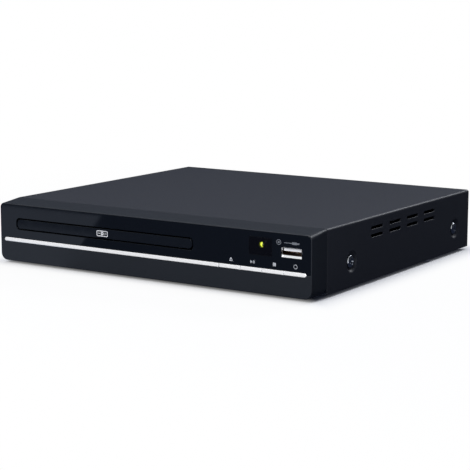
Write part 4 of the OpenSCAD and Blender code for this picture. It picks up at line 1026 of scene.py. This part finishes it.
def lamp_half(bm, side):
    """Half of the lamp, on the left (-1) or the right (1), with its leg."""
    turned(bm, lamp_shape, 1, (lamp_x, 0, lamp_z))
    cut = bmesh.ops.bisect_plane(
        bm,
        geom=bm.verts[:] + bm.edges[:] + bm.faces[:],
        plane_co=(lamp_x + LIT_TO, 0, 0),
        plane_no=(-side, 0, 0),
        clear_outer=True,
    )
    rim = [part for part in cut["geom_cut"] if isinstance(part, bmesh.types.BMEdge)]
    bmesh.ops.contextual_create(bm, geom=rim)
    leg = around(lamp_x + side * LEG_X, lamp_z, LEG_R, LEG_R)
    slab(bm, leg, [0.1] * 4, LEG_FROM, lamp_high.y)


settle(drawn("lamp_lit_half", lamp_half, -1), "lamp_lens", "case", "standby_led")
settle(drawn("lamp_dark_half", lamp_half, 1), "clear_epoxy", "case")

# %% [markdown]
# ## USB socket
# The socket is a folded shell of nickel-plated steel with a white tongue over its contacts.
# Its lips open like a funnel, so a plug finds its way in, and the wide lower lip shows as a
# bright band. Inside, past the throat, the shell is a dark brown gold: gold flash with painted
# shade of the deep gap darkened into its colour, which gives the dark gap its brown.
# Four bent plates could form it, but a block with one tapered cutter has closed corners.

# %% USB shell
USB_FACE, USB_FLOOR = 0.2, 13.5
LIP_DEEP, SIDE_LIP, LOW_LIP, HIGH_LIP = 0.9, 0.5, 1.2, 0.25
sleeve = grown(usb_low, usb_high, 0)
shell = drawn("usb_sleeve", slab, sleeve, [0.6] * 4, USB_FACE, usb_high.y, front=0.05)
wide = grown(usb_low, usb_high, -0.08)
narrow = (
    usb_low.x + SIDE_LIP,
    usb_high.x - SIDE_LIP,
    usb_low.z + LOW_LIP,
    usb_high.z - HIGH_LIP,
)
throat = USB_FACE + LIP_DEEP


def funnel(bm):
    """The space in the socket: wide at its face, narrow from the throat on."""
    levels = [(-1, wide), (USB_FACE, wide), (throat, narrow), (USB_FLOOR, narrow)]
    stack(bm, [ring_at(y, box, [0.4] * 4) for y, box in levels])


carve(shell, funnel)
settle(shell, "usb_steel", "case", "usb_shell")
# faces past the throat take the dark brown gold: painted shade of the deep socket over gold flash
shell.data.materials.append(finishes["gold_flash"])
x0, x1, z0, z1 = narrow
for face in shell.data.polygons:
    place = to_frame.inverted() @ face.center
    in_width = x0 - 0.1 < place.x < x1 + 0.1
    in_height = z0 - 0.1 < place.z < z1 + 0.1
    if in_width and in_height and place.y > throat:
        face.material_index = 1

# %% [markdown]
# ## USB tongue
# The tongue is a white moulded blade that grows out of a block at the socket's back. It
# hangs just under the shell's roof, with its contacts below, where the plug slides in.
# Two plain boxes could overlap there, but joined they have no hidden faces inside.

# %% USB tongue
TONGUE_W, TONGUE_H, TONGUE_FACE, TONGUE_END, BLOCK_FACE = 11.1, 1.75, 1.2, 9.5, 9
usb_x = (usb_low.x + usb_high.x) / 2
tongue_top = z1 - 0.15
blade = (usb_x - TONGUE_W / 2, usb_x + TONGUE_W / 2, tongue_top - TONGUE_H, tongue_top)
tongue = drawn("usb_blade", slab, blade, [0.15] * 4, TONGUE_FACE, TONGUE_END, front=0.12)
block = (x0 + 0.05, x1 - 0.05, z0 + 0.05, z1 - 0.05)
carve(tongue, slab, block, [0.25] * 4, BLOCK_FACE, USB_FLOOR - 0.1, operation="UNION")
settle(tongue, "usb_white", "case", "usb_tongue")

# %% [markdown]
# ## Printed signs
# The signs are screen printed: a film of white ink, two hundredths of a millimetre thick.
# Each is a flat solid that sinks a little into the panel, so no gap shows. An image on the
# panel could show them too, but as solids they stay sharp from close up.

# %% Drawing a sign
INK, SUNK = 0.02, 0.05
SIGN_Z = 19.7


def sign(bm, points, x, z):
    """A printed outline round the place x, z."""
    stack(bm, [[(x + px, y, z + pz) for px, pz in points] for y in (-INK, SUNK)])


def stroke(bm, x0, x1, z0, z1, x, z):
    """A printed rectangle."""
    sign(bm, [(x0, z0), (x1, z0), (x1, z1), (x0, z1)], x, z)


def hoop(bm, outer, inner, x, z):
    """A printed ring."""
    turned(bm, [(inner, -INK), (outer, -INK), (outer, SUNK), (inner, SUNK)], 1, (x, 0, z), 36)


def frame_line(bm, outer, inner):
    """A printed line between two outlines of equal point counts."""
    loops = [
        [bm.verts.new((x, y, z)) for x, z in points]
        for points, y in ((outer, -INK), (inner, -INK), (inner, SUNK), (outer, SUNK))
    ]
    for near, far in zip(loops, loops[1:] + loops[:1]):
        for i in range(len(near)):
            j = (i + 1) % len(near)
            bm.faces.new((near[i], near[j], far[j], far[i]))


print("ink", INK, "mm thick")

# %% [markdown]
# ## Which signs there are
# Eject, play and pause, stop and standby have their usual signs. The socket has a ring
# and a plug, and the door a disc in its tray. Text objects could print some of them, but
# a font draws them its own way, so they are built from triangles, strokes and hoops.

# %% Signs
# how far each sign stands right of its key's middle
SIGN_SHIFT = {"eject": 1.0, "play": 1.0, "stop": 1.1, "power": 0.2}
DISC_SIGN_X = -32.0


def key_signs(bm):
    """Eject, play and pause, stop and standby, above their keys."""
    x = {
        key: sum(corner.x for corner in span(key + "_key")) / 2 + shift
        for key, shift in SIGN_SHIFT.items()
    }
    sign(bm, [(-1.05, -0.15), (1.05, -0.15), (0, 1.25)], x["eject"], SIGN_Z)
    stroke(bm, -1.05, 1.05, -1.0, -0.55, x["eject"], SIGN_Z)
    sign(bm, [(-1.4, -0.85), (0.05, 0), (-1.4, 0.85)], x["play"], SIGN_Z)
    for left in (0.35, 1.05):
        stroke(bm, left, left + 0.38, -0.85, 0.85, x["play"], SIGN_Z)
    stroke(bm, -0.95, 0.95, -0.95, 0.95, x["stop"], SIGN_Z)
    hoop(bm, 1.25, 0.95, x["power"], SIGN_Z)


def socket_signs(bm):
    """A ring with a dot, and a plug on its cable."""
    z, ring_x = usb_high.z + 2.6, usb_x - 8.2
    hoop(bm, 1.55, 1.2, ring_x, z)
    hoop(bm, 0.65, 0.15, ring_x, z)
    stroke(bm, -4.7, 0.4, -0.2, 0.2, usb_x, z)
    stroke(bm, 0.4, 3.4, -0.7, 0.7, usb_x, z)
    stroke(bm, 3.4, 5.0, -0.4, 0.4, usb_x, z)


def disc_sign(bm):
    """A disc lying in its tray, seen from above."""
    x, z = DISC_SIGN_X, (door_low.z + door_high.z) / 2
    tray_box = around(x, z, 4.2, 1.75)
    frame_line(bm, ring(*tray_box, [0.8] * 4), ring(*tray_box, [0.8] * 4, -0.5))
    hoop(bm, 1.05, 0.35, x, z)
    for side in (-1, 1):
        stroke(bm, -0.7, 0.7, -0.22, 0.22, x + side * 2.4, z)


settle(drawn("key_signs", key_signs), "white_ink", "case")
settle(drawn("socket_signs", socket_signs), "grey_ink", "case")
settle(drawn("disc_sign", disc_sign), "bright_ink", "tray")

# %% [markdown]
# ## Steel cover
# The cover is one sheet, 0.8 mm thick, folded down at both sides. Its section is an
# upside-down U, drawn as a closed line and carried back along the case.
# A surface with a Solidify modifier could do it, but a drawn section has the deburred
# edges as well.

# %% Folded sheet
SHEET, DEBURR = 0.8, 0.12
REAR_LIP_X, REAR_LIP = 110, 9
# where the lips at the rear begin and end, measured in from each side
LIP_IN = (6, 0.4)
cover_low, cover_high = span("top_cover")


def u_section(inset):
    """The sheet's section, drawn smaller by inset where its cut edge is deburred."""

    def u_line(w, top, r):
        """Up the left side, over the top and down the right side."""
        turns = [math.pi / 2 * k / 6 for k in range(7)]
        arc = [(w - r + r * math.cos(t), top - r + r * math.sin(t)) for t in turns]
        right = [(w, FOOT + inset)] + arc
        return [(-x, z) for x, z in right] + [(x, z) for x, z in reversed(right)]

    deep = SHEET - inset
    outer = u_line(half_w - inset, cover_top - inset, FOLD - inset)
    inner = u_line(half_w - deep, cover_top - deep, FOLD - deep)
    return outer + inner[::-1]


def folded_sheet(bm):
    """The sheet from front to back, with deburred ends."""
    y0, y1 = cover_low.y, cover_high.y
    levels = [(y0, DEBURR), (y0 + DEBURR, 0), (y1 - DEBURR, 0), (y1, DEBURR)]
    stack(bm, [[(x, y, z) for x, z in u_section(inset)] for y, inset in levels])


cover = drawn("folded_cover", folded_sheet)
rear_y = cover_high.y - SHEET
lips = [(-REAR_LIP_X, REAR_LIP_X, cover_top - REAR_LIP, cover_top - SHEET + 0.05)]
for side in (-1, 1):
    lip = sorted(side * (half_w - x) for x in LIP_IN)
    lips.append((*lip, FOOT + 1, cover_top - FOLD))
for box in lips:
    carve(cover, slab, box, [0.3] * 4, rear_y, cover_high.y - 0.01, operation="UNION", back=0.1)
print("sheet", SHEET, "mm thick, with", len(lips), "lips at the rear")

# %% [markdown]
# ## Slots and dishes
# In each side two rows of four slots let the warm air out, and two dishes take the heads
# of the screws. They are pressed from outside, so their edges roll inward. A slot is a cut
# with a rolled edge. A dish could be pushed into the mesh, but a turned one is truly
# round: a round piece of the sheet is cut out and the dish joined in its place.

# %% Slots and dishes
SLOT_FIRST, SLOT_STEP, SLOTS = 75.7, 23.1, 4
SLOT_AT = [SLOT_FIRST + SLOT_STEP * i for i in range(SLOTS)]
SLOT_DROPS, SLOT_LONG, SLOT_HIGH = (6.8, 11.5), 15, 1.8
SCREW_AT, SCREW_Z = (45.5, 183.0), 16.5
DISH_R, DISH_FLOOR, DISH_DEEP = 6.6, 4.3, 1.5
BACK_SCREW_X, BACK_SCREW_DROP, BACK_HOLE_R = 80, 5, 1.6


def from_side(side):
    """Turns a solid drawn at the front face to the right (1) or left (-1) side face."""
    return Matrix.Translation((side * half_w, 0, 0)) @ Matrix.Rotation(
        side * math.pi / 2, 4, "Z"
    )


def dish(bm, side, y):
    """A pressed dish: its S-shaped section is turned about the screw's axis."""
    steps = [k / 10 for k in range(11)]
    face = [
        (DISH_R - (DISH_R - DISH_FLOOR) * t, 0.02 + DISH_DEEP * t * t * (3 - 2 * t))
        for t in steps
    ]
    front = [(DISH_R + 0.5, 0.02)] + face + [(1.6, DISH_DEEP + 0.02)]
    profile = front + [(r, depth + SHEET - 0.05) for r, depth in reversed(front)]
    turned(bm, [(r, -side * depth) for r, depth in profile], 0, (side * half_w, y, SCREW_Z))


for side in (-1, 1):
    for y in SLOT_AT:
        for drop in SLOT_DROPS:
            box = around(side * y, cover_top - drop, SLOT_LONG / 2, SLOT_HIGH / 2)
            carve(cover, mouth, box, [SLOT_HIGH / 2] * 4, 2, 0.25, place=from_side(side))
    for y in SCREW_AT:
        box = around(side * y, SCREW_Z, DISH_R, DISH_R)
        carve(cover, slab, box, [DISH_R] * 4, -1, 2, place=from_side(side))
        carve(cover, dish, side, y, operation="UNION")
for side in (-1, 1):
    hole = (side * BACK_SCREW_X, cover_top - BACK_SCREW_DROP, BACK_HOLE_R, BACK_HOLE_R)
    carve(cover, slab, around(*hole), [BACK_HOLE_R] * 4, rear_y - 1, cover_high.y + 1)
settle(cover, "cover_paint", "case", "top_cover", smooth=40)

# %% [markdown]
# ## Case screws
# Eight bright plated screws hold the case: a broad one in each dish and four smaller ones
# at the back. A pan head is a turned shape, and two tapered slots cut across each other
# make its cross recess. A dark cross on a flat disc could stand for it from afar, but a
# real recess catches the light from close up.

# %% Pan head screw
SHANK, HEAD_RIM = 4, 0.45


def pan_head(bm, r, high):
    """A screw that points down: head of radius r, a bevelled tip and a domed crown."""
    crown = [
        (r * math.cos(t), HEAD_RIM + (high - HEAD_RIM) * math.sin(t))
        for t in [math.pi / 2 * k / 8 for k in range(9)]
    ]
    shank = [(0, -SHANK), (1.2, -SHANK), (1.45, -SHANK + 0.5), (1.45, 0), (r - 0.1, 0)]
    turned(bm, shank + [(r, 0.12)] + crown, 2, (0, 0, 0), 40)


def cross_slot(bm, r, high, turn):
    """A tapered slot, wide above and narrow at its floor."""
    rings = []
    for z, long, wide in ((high + 0.3, 0.7 * r, 0.17 * r), (high - 1.1, 0.3 * r, 0.1 * r)):
        points = [(-long, -wide), (long, -wide), (long, wide), (-long, wide)]
        rings.append([(x, y, z) for x, y in points])
    stack(bm, rings)
    bm.transform(Matrix.Rotation(turn, 4, "Z"))


def pan_screw(name, r, high):
    """A pan head with a cross recess."""
    screw = drawn(name, pan_head, r, high)
    for turn in (0.3, 0.3 + math.pi / 2):
        carve(screw, cross_slot, r, high, turn)
    return screw


broad, small = pan_screw("broad_screw", 3.7, 1.7), pan_screw("small_screw", 2.9, 1.4)
print("two screws of", len(broad.data.polygons), "faces")

# %% [markdown]
# ## Setting the screws
# The two screws are stamped into one mesh at their eight seats, by a matrix each. Linked
# copies could do it too, but one mesh is what stands for the one solid of all case screws.
# Once that is done, the two patterns are thrown away.

# %% Eight screws in place
TAB_Y, TAB_Z, TAB_X = span("rear_panel")[1].y, 12, (-99, 31)


def all_screws(bm):
    """Two broad screws in each side, two small ones in the cover's lip and two below."""
    seats = []
    back = Matrix.Rotation(-math.pi / 2, 4, "X")
    for side in (-1, 1):
        axis = Matrix.Rotation(side * math.pi / 2, 4, "Y")
        for y in SCREW_AT:
            seat = Matrix.Translation((side * (half_w - DISH_DEEP), y, SCREW_Z)) @ axis
            seats.append((broad, seat))
        seat = (side * BACK_SCREW_X, cover_high.y, cover_top - BACK_SCREW_DROP)
        seats.append((small, Matrix.Translation(seat) @ back))
    for x in TAB_X:
        seats.append((small, Matrix.Translation((x, TAB_Y, TAB_Z)) @ back))
    for screw, seat in seats:
        done = len(bm.verts)
        bm.from_mesh(screw.data)
        bm.verts.ensure_lookup_table()
        placed = seat @ to_frame.inverted()
        bmesh.ops.transform(bm, matrix=placed, verts=bm.verts[done:])


settle(drawn("plated_case_screws", all_screws), "plated_screw", "case", "case_screws")
for screw in (broad, small):
    bpy.data.objects.remove(screw)

# %% [markdown]
# ## Phono jacks
# Each phono jack has a coloured insert: yellow for the picture, white and red for sound.
# It is a short tube between the plated sleeve and the centre insulator. The jack's face
# could be coloured instead, but a turned tube keeps the colour off the sleeve.

# %% Coloured inserts
jack_low, jack_high = span("av_shells")
jack_z = (jack_low.z + jack_high.z) / 2
JACKS = {"yellow": 99, "white": 85, "red": 71}
INSERT_R, INSERT_Y = (2.45, 3.6), (204.55, 206.5)
for colour, x in JACKS.items():
    (inner, outer), (near, far) = INSERT_R, INSERT_Y
    tube = [(inner, near), (outer, near), (outer, far), (inner, far)]
    insert = drawn(colour + "_jack_insert", turned, tube, 1, (x, 0, jack_z))
    settle(insert, colour + "_insert", "case")

# %% [markdown]
# ## Carried-over solids
# The other solids keep their own shape. Where one shows, a copy of it gets its sharp
# edges softened by the radius a mould or a punch leaves; the hidden ones only get
# their finish. They could be drawn anew, but their form is right as it is.


# %% Softened copies
def softened(node, width):
    """A copy of a solid with rounded edges, in the solid's own place."""
    bm = bmesh.new()
    bm.from_mesh(frame["nodes"][node].data)
    bmesh.ops.remove_doubles(bm, verts=bm.verts, dist=1e-6)
    flat = math.radians(1)
    bmesh.ops.dissolve_limit(bm, angle_limit=flat, verts=bm.verts, edges=bm.edges)
    mesh = bpy.data.meshes.new("soft_" + node)
    bm.to_mesh(mesh)
    bm.free()
    thing = bpy.data.objects.new("soft_" + node, mesh)
    scene.collection.objects.link(thing)
    bevel = thing.modifiers.new("edge", "BEVEL")
    bevel.width, bevel.segments, bevel.limit_method = width * MM, 2, "ANGLE"
    bevel.angle_limit = math.radians(40)
    settle(thing, slot_of[node], body_of[node], node)


# radius of each piece's edges in millimetres
SOFT_EDGES = {
    "disc_tray": 0.35,
    "rubber_feet": 0.3,
    "rear_panel": 0.1,
    "mains_inlet": 0.25,
    "hdmi_socket": 0.1,
    "av_block": 0.3,
    "turntable": 0.2,
    "clamper_puck": 0.25,
}
for node, width in SOFT_EDGES.items():
    softened(node, width)

# %% [markdown]
# ## A finish for every solid
# Every solid gets the finish of its slot. What the cover hides could stay bare, but
# someone may take the cover off or slide the tray out.

# %% Finishes on all solids
for node, solid in frame["nodes"].items():
    solid.data.materials.clear()
    solid.data.materials.append(finishes[slot_of[node]])
print("finished", len(frame["nodes"]), "solids")
